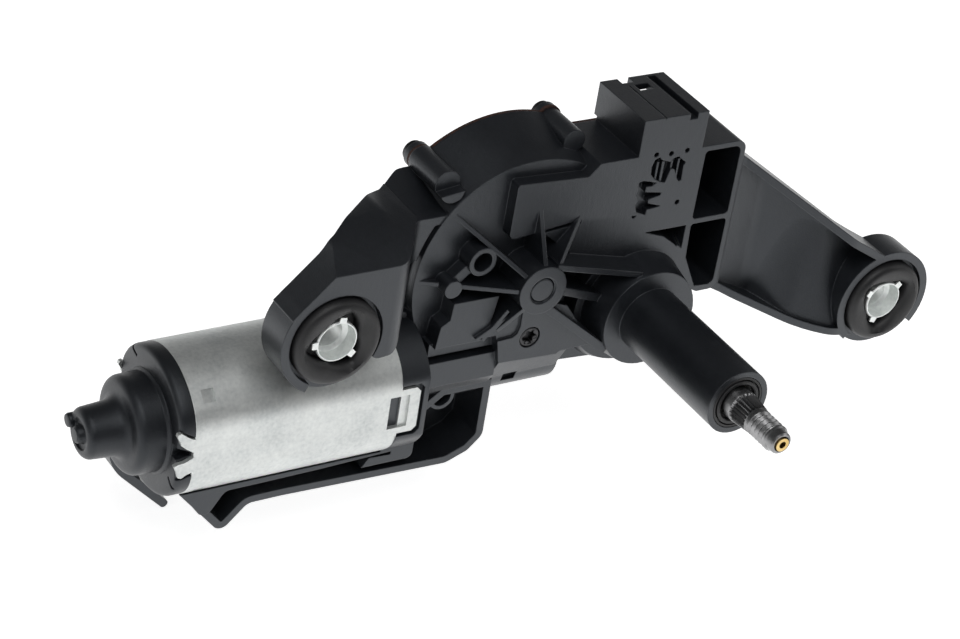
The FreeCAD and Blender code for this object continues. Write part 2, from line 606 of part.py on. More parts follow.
    hook = hook.common(box(-70, -50, 10, 15, -30, -20.6))
    body = fused(case + [arms, flange, spigot, neck, foot.cut(motor_room), hook])
    # the tube in front of the collar
    tube = cyl_y(0, 0, S["tube_radius"], TUBE_END_Y, 2.0)
    body = body.fuse(tube)

    cut = [
        # gear room, with the wheel side, the spindle side and the passage between them
        cone_y(HUB_X, HUB_Z, S["disc_radius"] - wall - 0.6, S["rim_radius"] - wall - 1.6, HOUSING_INNER_Y,
               PLATE_REAR).cut(cyl_y(0, 0, BUSH_RADIUS + wall, 0, SPUR_Y0 - 0.6)),
        cyl_y(0, 0, SPUR_TIP_RADIUS + S["cavity_gap"], SPUR_Y0 - 0.6, PLATE_REAR),
        prism_y([(HUB_X, HUB_Z + 20), (2, 18), (2, -18), (HUB_X, HUB_Z - 20)], SPUR_Y0 - 0.6, PLATE_REAR),
        # worm tunnel and brush room
        cyl_x(WORM_Y, WORM_Z, S["worm_pitch_radius"] + S["worm_module"] + 1.6, MID_BEARING_X, END_BEARING_X),
        cyl_x(WORM_Y, WORM_Z, 14.2, S["can_right_x"] - 4, S["can_right_x"] + 4.0),
        cyl_x(WORM_Y, WORM_Z, S["mid_bearing_radius"], -80.0, MID_BEARING_X),
        cyl_x(WORM_Y, WORM_Z, S["end_bearing_radius"], END_BEARING_X, END_BEARING_X + S["end_bearing_length"]),
        # spindle bore with the seal seat
        cyl_y(0, 0, BUSH_RADIUS, TUBE_END_Y, SPUR_Y0),
        cyl_y(0, 0, S["seal_radius"], TUBE_END_Y, TUBE_END_Y + S["seal_thickness"]),
        # pin bore through the hub
        cyl_y(HUB_X, HUB_Z, S["wheel_pin_radius"], S["hub_face_y"], HOUSING_INNER_Y + 1),
        cyl_y(HUB_X, HUB_Z, S["hub_recess_radius"], S["hub_face_y"], S["hub_face_y"] + 0.5),
        cyl_y(-56.6, 25.2, 3.0, 8.0, 13.4),
        # electronics room and connector socket, both open to the rear
        box(ROOM_X0, ROOM_X1, ROOM_Y0, PLATE_REAR, ROOM_Z0, ROOM_Z1),
        box(block_left + 2.2, block_right - 2.4, SOCKET_Y0, S["block_rear_y"], SOCKET_Z0, SOCKET_Z1),
        # latch window, keyway and coring on the connector block
        box(1.8, 6.4, 26.5, 30.0, S["block_top_z"] - 3, S["block_top_z"]),
        box(8.6, 11.4, S["plate_y"], S["block_rear_y"] - 1, S["block_top_z"] - 1.9, S["block_top_z"]),
        # screw recess on the platform
        cyl_y(-37.4, -2.7, 3.5, 6.0, 8.6),
        cyl_y(-37.4, -2.7, 1.5, 8.6, 14.6),
        latch_tab(1.2, S["can_wall"], 2.0),
    ]
    gap = S["cell_wall"]
    upper = [(block_right + gap, S["cells_mid_z"] + gap / 2, 1.2), (S["cells_right_x"] - gap, S["cells_mid_z"] + gap / 2, 1.2),
             (S["cells_right_x"] - gap, S["cells_top_z"] - gap, 2.2), (block_right + gap, S["cells_top_z"] - gap, 1.2)]
    lower = [(block_right + gap, S["cells_mid_z"] - gap / 2, 1.0), (17.4, 12.0), (22.8, 1.0),
             (S["cells_right_x"] - gap, S["cells_low_z"] + gap, 2.2), (S["cells_right_x"] - gap, S["cells_mid_z"] - gap / 2, 1.2)]
    cut.append(prism_y(upper, S["plate_y"], S["cells_floor_y"]))
    cut.append(prism_y(lower, S["plate_y"], S["cells_floor_y"]).cut(
        [cone_y(0, 0, S["spindle_house_radius"], SPINDLE_HOUSE_REAR, S["plate_y"], SPUR_Y0 - 2.5),
         cyl_y(0, 0, SPINDLE_HOUSE_REAR, SPUR_Y0 - 2.6, 50)]))
    triangle = prism_y([(0.8, 23.4), (block_right - 0.2, 23.4), (block_right - 0.2, 14.6)], S["plate_y"], 16.0)
    cut.append(triangle.cut(cone_y(0, 0, S["spindle_house_radius"] + 1.6, SPINDLE_HOUSE_REAR + 1.6, S["plate_y"], SPUR_Y0 - 2.5)))
    for px, pz in ((-1.0, 50.0), (4.3, 49.6), (9.9, 49.8), (4.3, 37.1), (9.9, 32.4), (-4.9, 30.2)):
        cut.append(cyl_y(px, pz, 0.8, S["plate_y"], S["plate_y"] + 1.8))
    for px, pz in ((0.2, 45.6), (4.6, 45.4), (-3.6, 37.2), (-0.4, 33.6)):
        cut.append(box(px - 1.7, px + 1.7, S["plate_y"], S["plate_y"] + 1.9, pz - 2.6, pz + 2.6))
    # groove between the disc and the left arm
    groove = cyl_y(HUB_X, HUB_Z, S["disc_radius"] + S["groove_width"], front - 2, front + S["groove_depth"])
    groove = groove.cut(cyl_y(HUB_X, HUB_Z, S["disc_radius"] + 0.05, front - 3, front + 30))
    sector = [(HUB_X, HUB_Z), polar(HUB_X, HUB_Z, 60, 140), polar(HUB_X, HUB_Z, 80, 165), polar(HUB_X, HUB_Z, 60, 192)]
    cut.append(groove.common(prism_y(sector, front - 5, front + 20)))
    for centre in (LEFT, RIGHT, LOW):
        cut.append(mount_bore(centre))
    for px, pz, length in SCREW_PLACES:
        cut.append(cyl_y(px, pz, S["screw_radius"], COVER_Y1 - S["screw_length"], PLATE_REAR))
    posts = [cyl_y(px, pz, S["screw_radius"] + 1.7, HOUSING_INNER_Y, PLATE_REAR) for px, pz, inside in SCREW_PLACES if inside]
    holes = [cyl_y(px, pz, S["screw_radius"], COVER_Y1 - S["screw_length"], PLATE_REAR) for px, pz, inside in SCREW_PLACES]
    shape = body.cut(fused(cut))
    for px in (ROOM_X0 + 1.6, ROOM_X1 - 1.6):
        for pz in (ROOM_Z0 + 1.6, ROOM_Z1 - 1.6):
            posts.append(cyl_y(px, pz, 2.2, ROOM_Y0 - 1, BOARD_Y).common(
                box(ROOM_X0 - 1, ROOM_X1 + 1, ROOM_Y0 - 1, BOARD_Y, ROOM_Z0 - 1, ROOM_Z1 + 1)))
    shape = shape.fuse(posts).cut(fused(holes + connector_pin_shapes()))
    return shape.removeSplitter()


SCREW_PLACES = [
    polar(HUB_X, HUB_Z, S["rim_radius"] - 0.4, 131.6) + (False,),
    polar(HUB_X, HUB_Z, S["rim_radius"] - 1.5, 68.5) + (False,),
    polar(HUB_X, HUB_Z, S["rim_radius"] - 6.6, 200.0) + (True,),
    (-13.5, 43.0, True),
    polar(0, 0, SPINDLE_HOUSE_REAR + 1.2, 28.0) + (False,),
]

housing = feature("gear_housing", make_housing())

# gasket, cover and screws on the rear
rim_band = case_outline(PLATE_REAR, COVER_Y0, 0.0).cut(case_outline(PLATE_REAR - 1, COVER_Y0 + 1, -3.2))
screw_holes = fused([cyl_y(x, z, S["screw_radius"] + 0.15, PLATE_REAR - 1, COVER_Y1 + 1) for x, z, i in SCREW_PLACES])
ears = [cyl_y(x, z, 4.1, PLATE_REAR, COVER_Y0) for x, z, inside in SCREW_PLACES]
feature("cover_gasket", rim_band.fuse(ears).cut([screw_holes, motor_clearance(-100)]).removeSplitter())


def make_cover():
    ears = [cyl_y(x, z, 4.0, COVER_Y0, COVER_Y1) for x, z, inside in SCREW_PLACES]
    plate = case_outline(COVER_Y0, COVER_Y1, -1.8).fuse(ears)
    beads = [cyl_y(HUB_X, HUB_Z, 30.0, COVER_Y1, COVER_Y1 + 1.6).cut(cyl_y(HUB_X, HUB_Z, 27.5, COVER_Y1, COVER_Y1 + 2)),
             cyl_y(HUB_X, HUB_Z, 8.0, COVER_Y1, COVER_Y1 + 1.6),
             cyl_y(0, 0, 9.0, COVER_Y1, COVER_Y1 + 1.6)]
    for angle in range(0, 360, 45):
        start = polar(HUB_X, HUB_Z, 7.5, angle)
        end = polar(HUB_X, HUB_Z, 28.0, angle)
        beads.append(wall_between(start, end, 2.0, COVER_Y1, COVER_Y1 + 1.6, COVER_Y1 + 1.6))
    return plate.fuse(beads).cut([screw_holes, motor_clearance(-100),
                                  cyl_y(0, 0, S["nipple_radius"] + 1.4, COVER_Y0 - 1, COVER_Y1 + 3),
                                  cyl_y(HUB_X, HUB_Z, S["wheel_pin_radius"], COVER_Y0, COVER_Y0 + 1.2)]).removeSplitter()


feature("rear_cover", make_cover())
screws = []
for x, z, inside in SCREW_PLACES:
    head = cyl_y(x, z, S["screw_head_radius"], COVER_Y1, COVER_Y1 + S["screw_head_height"])
    socket = cyl_y(x, z, 1.7, COVER_Y1 + 1.0, COVER_Y1 + S["screw_head_height"])
    screws.append(head.cut(socket).fuse(cyl_y(x, z, S["screw_radius"], COVER_Y1 - S["screw_length"], COVER_Y1)))
feature("cover_screws", Part.makeCompound([shape.removeSplitter() for shape in screws]))

# wheel pin, its clip, and the train
pin_end = cover_y0 + 1.2
turned("wheel_pin", [(0, v("hub_face_y") + 0.3), (v("wheel_pin_radius") - 0.5, v("hub_face_y") + 0.3),
                     (v("wheel_pin_radius"), v("hub_face_y") + 0.8), (v("wheel_pin_radius"), pin_end),
                     (0, pin_end)], hub_x, 0, hub_z)
turned("wheel_clip", [(v("wheel_pin_radius"), spur_y1 + 0.4), (v("wheel_pin_radius") + 2.6, spur_y1 + 0.4),
                      (v("wheel_pin_radius") + 2.6, spur_y1 + 1.4), (v("wheel_pin_radius"), spur_y1 + 1.4)],
       hub_x, 0, hub_z)

lead_turn = S["worm_module"] / 2 / S["worm_pitch_radius"] * S["wheel_width"] / 2 / WHEEL_PITCH_RADIUS
pin_hole = S["wheel_pin_radius"] + S["shaft_running_clearance"]


def make_wheel():
    rim = helical_wheel(WHEEL_Y0, WHEEL_Y1, -lead_turn)
    hollow = cyl_y(0, 0, WHEEL_PITCH_RADIUS - 4.2, WHEEL_Y0 - 1, WHEEL_Y1 + 1)
    web = cyl_y(0, 0, WHEEL_PITCH_RADIUS - 3.6, WORM_Y - 1.2, WORM_Y + 1.6)
    for index in range(6):
        x, z = polar(0, 0, 15.5, index * 60)
        web = web.cut(cyl_y(x, z, 3.4, WORM_Y - 3, WORM_Y + 3))
    hub = cyl_y(0, 0, S["wheel_hub_radius"], HOUSING_INNER_Y + 0.5, SPUR_Y0)
    ribs = []
    for index in range(6):
        start = polar(0, 0, S["wheel_hub_radius"] - 1, index * 60 + 30)
        end = polar(0, 0, WHEEL_PITCH_RADIUS - 3.9, index * 60 + 30)
        ribs.append(wall_between(start, end, 1.8, WORM_Y - 1, WHEEL_Y0 + 0.4, WHEEL_Y0 + 0.4))
        ribs.append(wall_between(start, end, 1.8, WORM_Y - 1, WHEEL_Y1 - 0.4, WHEEL_Y1 - 0.4))
    wheel = rim.cut(hollow).fuse([web, hub] + ribs)
    wheel = wheel.cut(cyl_y(0, 0, pin_hole, 0, 60)).removeSplitter()
    wheel.translate(V(HUB_X, 0, HUB_Z))
    return wheel


feature("worm_wheel", make_wheel())

hub_side = math.radians(-S["hub_line_angle"])
transfer = spur_gear(0, 0, hub_side, SPUR_Y0, SPUR_Y1).cut(cyl_y(0, 0, pin_hole, 0, 60))
ring_groove = cyl_y(0, 0, 16.5, SPUR_Y1 - 1.2, SPUR_Y1).cut(cyl_y(0, 0, 8.0, SPUR_Y1 - 1.2, SPUR_Y1))
transfer = transfer.cut(ring_groove)
transfer.translate(V(HUB_X, 0, HUB_Z))
feature("transfer_gear", transfer)

half_tooth = math.pi / S["spur_teeth"]
driven = spur_gear(0, 0, math.pi + hub_side + half_tooth, SPUR_Y0, SPUR_Y1)
driven = driven.cut([cyl_y(0, 0, S["spindle_radius"], 0, 60), ring_groove])
feature("spindle_gear", driven)

# spindle, bushes and seal
tube_end = -v("tube_length")
knurl_y1 = tube_end - v("spindle_stick_out")
knurl_y0 = knurl_y1 - v("spindle_knurl_length")
thread_y0 = knurl_y0 - v("spindle_thread_length")
turned("output_spindle", [
    (v("spindle_bore_radius"), thread_y0), (v("spindle_thread_radius") - 0.7, thread_y0),
    (v("spindle_thread_radius"), thread_y0 + 0.9), (v("spindle_thread_radius"), knurl_y0),
    (v("spindle_knurl_tip_radius"), knurl_y0), (v("spindle_radius"), knurl_y1), (v("spindle_radius"), spur_y1 + 1.2),
    (v("spindle_bore_radius"), spur_y1 + 1.2)])
for name, start in (("spindle_bush_front", tube_end + v("seal_thickness")),
                    ("spindle_bush_rear", spur_y0 - 0.5 - v("bush_length"))):
    turned(name, [(v("spindle_radius") + v("shaft_running_clearance"), start), (bush_radius, start),
                  (bush_radius, start + v("bush_length")),
                  (v("spindle_radius") + v("shaft_running_clearance"), start + v("bush_length"))])
turned("spindle_seal", [
    (v("spindle_radius") + 0.05, tube_end - 0.4), (v("seal_radius") - 1.2, tube_end - 0.4),
    (v("seal_radius"), tube_end + 0.4), (v("seal_radius"), tube_end + v("seal_thickness")),
    (v("spindle_radius") + 0.05, tube_end + v("seal_thickness"))])

# washer jet through the spindle, held by the nipple in the rear cover
jet_end = thread_y0 - v("jet_stick_out")
turned("washer_jet", [
    (v("jet_bore_radius"), jet_end), (v("jet_radius"), jet_end), (v("jet_radius"), cover_y1),
    (v("jet_bore_radius"), cover_y1)])
nipple_foot = v("nipple_radius") + 1.4
turned("washer_nipple", [
    (v("jet_radius"), cover_y0 - 1.0), (nipple_foot, cover_y0 - 1.0), (nipple_foot, cover_y1 + 1.6),
    (nipple_foot + 1.4, cover_y1 + 1.6), (nipple_foot + 1.4, cover_y1 + 3.0), (v("nipple_radius") - 0.3, cover_y1 + 3.0),
    (v("nipple_radius") - 0.3, cover_y1 + v("nipple_length") - 3.0), (v("nipple_radius"), cover_y1 + v("nipple_length") - 3.0),
    (v("nipple_radius") - 0.8, cover_y1 + v("nipple_length")), (v("jet_bore_radius"), cover_y1 + v("nipple_length")),
    (v("jet_bore_radius"), cover_y1), (v("jet_radius"), cover_y1)])

# electronics
feature("connector_pins", Part.makeCompound(connector_pin_shapes()))
board = box(ROOM_X0 + 0.4, ROOM_X1 - 0.4, BOARD_Y, BOARD_Y + 1.6, ROOM_Z0 + 0.4, ROOM_Z1 - 0.4)
feature("circuit_board", board)
relay = box(-5.0, 6.0, BOARD_Y + 1.6, PLATE_REAR - 0.6, 29.0, 43.0)
choke = cyl_y(9.4, 34.0, 2.4, BOARD_Y + 1.6, PLATE_REAR - 1.0)
feature("board_parts", Part.makeCompound([relay, choke]))

# motor can, end cap and the parts inside
inner_can = S["can_radius"] - S["can_wall"]
inner_flat = S["can_flat"] - S["can_wall"]


def make_can():
    right = S["can_right_x"]
    shell = double_d(S["can_radius"], S["can_flat"], CAN_LEFT_X, right)
    shell = shell.cut(double_d(inner_can, inner_flat, CAN_LEFT_X - 1, right + 1))
    # folded claws hold the end cap, latch tabs hold the gear housing's flange
    shell = shell.fuse([claw_prongs(), latch_tab(0.0, S["can_wall"])])
    window = on_flats([(right - 3.6, -5.3), (right - 3.6, 5.4), (right + 0.3, 5.4), (right + 0.3, -5.3)], 3.0, 1.0)
    step = on_flats([(right, -5.3), (right, 5.4), (right + 2.8, 5.4), (right + 2.8, -5.3)], 0.7, 1.0)
    return shell.cut([window, step]).removeSplitter()


def circle_edges(shape, x, radius):
    """The round edges of a turned shape that lie at one station and have one radius."""
    found = []
    for edge in shape.Edges:
        bounds = edge.BoundBox
        if bounds.XLength < 0.01 and abs(bounds.XMin - x) < 0.01 and abs(bounds.ZLength - 2 * radius) < 0.05:
            found.append(edge)
    return found


def make_end_cap():
    nose_root = S["nose_radius"] + 0.35
    dome = cyl_x(WORM_Y, WORM_Z, S["dome_radius"], DOME_X, CAP_X + 1)
    nose = cone_x(WORM_Y, WORM_Z, S["nose_radius"], nose_root, NOSE_X, DOME_X)
    body = fused([dome, nose])
    body = body.makeFillet(2.6, circle_edges(body, DOME_X, S["dome_radius"]) + circle_edges(body, DOME_X, nose_root))
    body = body.makeFillet(2.2, circle_edges(body, NOSE_X, S["nose_radius"]))
    flange = double_d(S["can_radius"], S["can_flat"], CAP_X, CAN_LEFT_X)
    rounding = cone_x(WORM_Y, WORM_Z, S["can_flat"] - 1.0, S["can_flat"] + 1.6, CAP_X, CAP_X + 1.8)
    flange = flange.common(rounding.fuse(cyl_x(WORM_Y, WORM_Z, S["can_radius"] + 1, CAP_X + 1.8, CAN_LEFT_X)))
    spigot = double_d(inner_can, inner_flat, CAN_LEFT_X, CAN_LEFT_X + 2.0)
    post = cyl_x(WORM_Y, WORM_Z, 2.4, NOSE_X - 1.5, NOSE_X + 1.0)
    stub = cyl_x(WORM_Y + 6.0, WORM_Z + 0.8, 2.0, NOSE_X - 1.0, NOSE_X + 4.0)
    body = body.fuse([flange, spigot, post, stub])
    hollow = [cyl_x(WORM_Y, WORM_Z, inner_can - 4.0, CAP_X + 2.4, CAN_LEFT_X + 3),
              cyl_x(WORM_Y, WORM_Z, S["dome_radius"] - 2.4, DOME_X + 2.2, CAP_X + 2.4),
              cyl_x(WORM_Y, WORM_Z, 5.0, NOSE_X + 2.6, DOME_X + 3.0),
              on_flats([(CAP_X - 1, -8.2), (CAP_X - 1, 9.4), (CAN_LEFT_X + 0.5, 6.0), (CAN_LEFT_X + 0.5, -6.8)],
                       S["can_wall"], 2.0)]
    for y, z in ((WORM_Y + 16.5, WORM_Z + 13.4), (WORM_Y + 12.5, WORM_Z + 15.6), (WORM_Y - 16.4, WORM_Z - 10.4)):
        hollow.append(box(CAP_X - 1, CAP_X + 1.4, y - 1.3, y + 1.3, z - 1.3, z + 1.3))
    return body.cut(hollow).removeSplitter()


feature("motor_can", make_can())
feature("end_cap", make_end_cap())
motor_centre = (0, v("worm_y"), worm_z)
bearing_bore = v("motor_shaft_radius") + v("shaft_running_clearance")
turned("nose_bearing", [(nose_x + 4.6, bearing_bore), (nose_x + 4.6, 5.0), (dome_x - 0.6, 5.0), (dome_x - 0.6, bearing_bore)],
       *motor_centre, along="X")
turned("mid_bearing", [(-77.6, bearing_bore), (-77.6, v("mid_bearing_radius")), (MID_BEARING_X, v("mid_bearing_radius")),
                       (MID_BEARING_X, bearing_bore)], *motor_centre, along="X")
turned("end_bearing", [(END_BEARING_X, bearing_bore), (END_BEARING_X, v("end_bearing_radius")),
                       (sized(END_BEARING_X) + v("end_bearing_length"), v("end_bearing_radius")),
                       (sized(END_BEARING_X) + v("end_bearing_length"), bearing_bore)], *motor_centre, along="X")

CORE_X0 = -129.0
CORE_X1 = CORE_X0 + S["armature_length"]
magnet_inner = S["armature_radius"] + S["motor_air_gap"]
for name, side in (("magnet_upper", 90), ("magnet_lower", -90)):
    ring = cyl_x(WORM_Y, WORM_Z, inner_can, CORE_X0 - 3, CORE_X1 + 3).cut(
        cyl_x(WORM_Y, WORM_Z, magnet_inner, CORE_X0 - 4, CORE_X1 + 4))
    half = S["magnet_angle"] / 2
    corners = [(WORM_Y, WORM_Z)]
    for angle in (side - half, side, side + half):
        corners.append((WORM_Y + 60 * math.cos(math.radians(angle)), WORM_Z + 60 * math.sin(math.radians(angle))))
    feature(name, ring.common(prism_x(corners, CORE_X0 - 5, CORE_X1 + 5)))


def make_core():
    core = cyl_x(0, 0, S["armature_radius"], CORE_X0, CORE_X1)
    slots = []
    for index in range(10):
        neck = box(CORE_X0, CORE_X1, -0.9, 0.9, 9.5, 20)
        room = cyl_x(0, 9.0, 1.9, CORE_X0, CORE_X1)
        slot = neck.fuse(room)
        slot.rotate(V(0, 0, 0), X_AXIS, index * 36)
        slots.append(slot)
    core = core.cut(slots).cut(cyl_x(0, 0, S["motor_shaft_radius"], -200, 0))
    core.translate(V(0, WORM_Y, WORM_Z))
    return core


feature("armature_core", make_core())
coils = []
for x0, x1, r0, r1 in ((CORE_X0 - 6.0, CORE_X0, 9.0, 11.8), (CORE_X1, CORE_X1 + 5.0, 11.8, 9.0)):
    coil = cone_x(WORM_Y, WORM_Z, r0, r1, x0, x1).cut(cyl_x(WORM_Y, WORM_Z, S["motor_shaft_radius"], x0, x1))
    coils.append(coil)
feature("armature_windings", Part.makeCompound(coils))
COMMUTATOR_X0 = CORE_X1 + 5.0
commutator = cyl_x(WORM_Y, WORM_Z, S["commutator_radius"], COMMUTATOR_X0, COMMUTATOR_X0 + S["commutator_length"])
commutator = commutator.cut(cyl_x(WORM_Y, WORM_Z, S["motor_shaft_radius"], -200, 0))
feature("commutator", commutator)


def make_shaft():
    left = NOSE_X + 6.0
    right = END_BEARING_X + S["end_bearing_length"] - 0.6
    length = S["worm_turns"] * math.pi * S["worm_module"]
    core_radius = S["worm_pitch_radius"] - 1.25 * S["worm_module"]
    shaft = cyl_x(0, 0, S["motor_shaft_radius"], left, right)
    core = cyl_x(0, 0, core_radius, HUB_X - length / 2 - 1.6, HUB_X + length / 2 + 0.2)
    thread = worm_thread(S["worm_turns"], S["worm_pitch_radius"], S["worm_module"], S["tooth_backlash"])
    thread.rotate(V(0, 0, 0), X_AXIS, -180 * S["worm_turns"])
    thread.translate(V(HUB_X, 0, 0))
    trim = cyl_x(0, 0, S["worm_pitch_radius"] + S["worm_module"] + 1, HUB_X - length / 2 + 0.6, HUB_X + length / 2 - 0.6)
    shaft = shaft.fuse([core, thread.common(trim)]).removeSplitter()
    shaft.translate(V(0, WORM_Y, WORM_Z))
    return shaft


feature("armature_shaft", make_shaft())

# brush gear
BRUSH_X0 = COMMUTATOR_X0 + 2.4
BRUSH_X1 = BRUSH_X0 + 4.6
PLATE_X0 = BRUSH_X1 + 1.6
PLATE_X1 = S["can_right_x"] - 3.0
rub = cyl_x(WORM_Y, WORM_Z, S["commutator_radius"] + 0.3, -120, -70)
brushes = []
springs = []
guides = [double_d(inner_can, inner_flat, PLATE_X0, PLATE_X1)]
windows = [cyl_x(WORM_Y, WORM_Z, S["commutator_radius"] + 1.0, -120, -70)]
for sign in (1, -1):
    def slab(half_y, z0, z1, x0, x1):
        low, high = sorted((WORM_Z + sign * z0, WORM_Z + sign * z1))
        return box(x0, x1, WORM_Y - half_y, WORM_Y + half_y, low, high)
    brushes.append(slab(3.0, 6.0, 14.0, BRUSH_X0, BRUSH_X1).cut(rub))
    guides.append(slab(4.4, 9.6, 17.6, BRUSH_X0 - 1.4, PLATE_X0 + 0.5))
    windows.append(slab(3.0, 6.0, 16.6, BRUSH_X0, BRUSH_X1))
    z0, z1 = sorted((WORM_Z + sign * 14.0, WORM_Z + sign * 16.6))
    coil = Part.makeCylinder(1.7, z1 - z0, V(BRUSH_X0 + 2.3, WORM_Y, z0), Z_AXIS)
    springs.append(coil.cut(Part.makeCylinder(1.1, z1 - z0, V(BRUSH_X0 + 2.3, WORM_Y, z0), Z_AXIS)))
feature("brush_holder", fused(guides).cut(windows).removeSplitter())
feature("brushes", Part.makeCompound(brushes))
feature("brush_springs", Part.makeCompound(springs))

# screw on the platform
head = cyl_y(-37.4, -2.7, 3.4, 6.1, 8.6).cut(cyl_y(-37.4, -2.7, 1.7, 6.1, 7.4))
feature("platform_screw", head.fuse(cyl_y(-37.4, -2.7, 1.5, 8.6, 14.6)).removeSplitter())


# rubber grommets with their steel sleeves
def make_grommet(centre, turn):
    x, z, y = centre
    length = S["grommet_length"]
    half = S["grommet_groove"] / 2
    middle = y + length / 2
    outer = [(S["sleeve_radius"], y), (S["grommet_radius"], y, 3.4), (S["grommet_radius"], middle - half),
             (S["grommet_neck_radius"], middle - half), (S["grommet_neck_radius"], middle + half),
             (S["grommet_radius"], middle + half), (S["grommet_radius"], y + length, 3.4), (S["sleeve_radius"], y + length)]
    ring = outline(outer, lambda p: V(p.x, p.y, 0)).revolve(V(0, 0, 0), Y_AXIS, 360)
    corners = []
    for index in range(3):
        a, b = polar(0, 0, 11.4, turn + index * 120)
        corners.append((a, b, 2.4))
    ring = ring.cut(prism_y(corners, y - 1, y + 2.4))
    ring.translate(V(x, 0, z))
    return ring.removeSplitter()


for name, centre, turn in (("left", LEFT, -53), ("right", RIGHT, 145), ("low", LOW, 90)):
    x, z, y = centre
    feature("grommet_" + name, make_grommet(centre, turn))
    mount = [v("%s_mount_%s" % (name, axis)) for axis in "xyz"]
    turned("sleeve_" + name, [
        (v("sleeve_bore_radius"), 1.6), (v("sleeve_radius"), 1.6), (v("sleeve_radius"), v("grommet_length") + 0.4),
        (v("sleeve_bore_radius"), v("grommet_length") + 0.4)], *mount)

doc.recompute()
for item in doc.Objects:
    if "Invalid" in item.State or "Error" in item.State:
        raise RuntimeError("%s: %s" % (item.Label, item.State))
os.makedirs("parts", exist_ok=True)
for node in NODES:
    shape = node.Shape
    if shape.isNull() or not shape.isValid():
        raise RuntimeError("no sound shape: " + node.Label)
    shape.exportStep("parts/%s.step" % node.Label)
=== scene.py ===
import bpy, bmesh, math
from mathutils import Matrix, Vector


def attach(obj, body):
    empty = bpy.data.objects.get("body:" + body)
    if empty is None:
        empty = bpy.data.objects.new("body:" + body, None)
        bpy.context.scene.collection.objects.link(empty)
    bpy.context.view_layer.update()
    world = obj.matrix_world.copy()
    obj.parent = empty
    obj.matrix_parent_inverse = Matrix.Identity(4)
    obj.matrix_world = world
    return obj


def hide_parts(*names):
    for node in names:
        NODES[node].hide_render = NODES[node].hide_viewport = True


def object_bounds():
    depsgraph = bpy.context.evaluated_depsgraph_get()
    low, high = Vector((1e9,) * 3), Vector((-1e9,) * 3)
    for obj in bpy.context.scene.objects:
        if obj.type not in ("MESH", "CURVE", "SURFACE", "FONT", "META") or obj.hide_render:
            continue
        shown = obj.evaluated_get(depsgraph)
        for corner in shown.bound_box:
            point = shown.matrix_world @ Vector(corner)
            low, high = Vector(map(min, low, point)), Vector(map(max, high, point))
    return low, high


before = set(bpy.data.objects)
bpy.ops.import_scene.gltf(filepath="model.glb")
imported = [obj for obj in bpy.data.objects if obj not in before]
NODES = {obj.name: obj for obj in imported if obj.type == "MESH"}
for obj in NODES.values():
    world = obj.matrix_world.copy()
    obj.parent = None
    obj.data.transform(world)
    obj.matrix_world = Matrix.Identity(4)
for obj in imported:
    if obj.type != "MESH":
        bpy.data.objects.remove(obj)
cad_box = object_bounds()

# camera: place in metres and turn, both solved from the photograph
CAMERA_PLACE = Vector((-0.4807, -0.5851, 0.4556))
CAMERA_ROWS = ((0.8514, -0.5054, 0.1403), (0.1681, 0.5163, 0.8397), (-0.4968, -0.6914, 0.5246))
LENS_MM = 112.5
SENSOR_MM = 36.0


def set_camera():
    data = bpy.data.cameras.new("camera")
    data.lens = LENS_MM
    data.sensor_width = SENSOR_MM
    data.sensor_fit = "HORIZONTAL"
    data.clip_start = 0.05
    data.clip_end = 20.0
    camera = bpy.data.objects.new("camera", data)
    bpy.context.scene.collection.objects.link(camera)
    right, up, back = (Vector(row) for row in CAMERA_ROWS)
    turn = Matrix((right, up, back)).transposed()
    camera.matrix_world = Matrix.Translation(CAMERA_PLACE) @ turn.to_4x4()
    bpy.context.scene.camera = camera


set_camera()


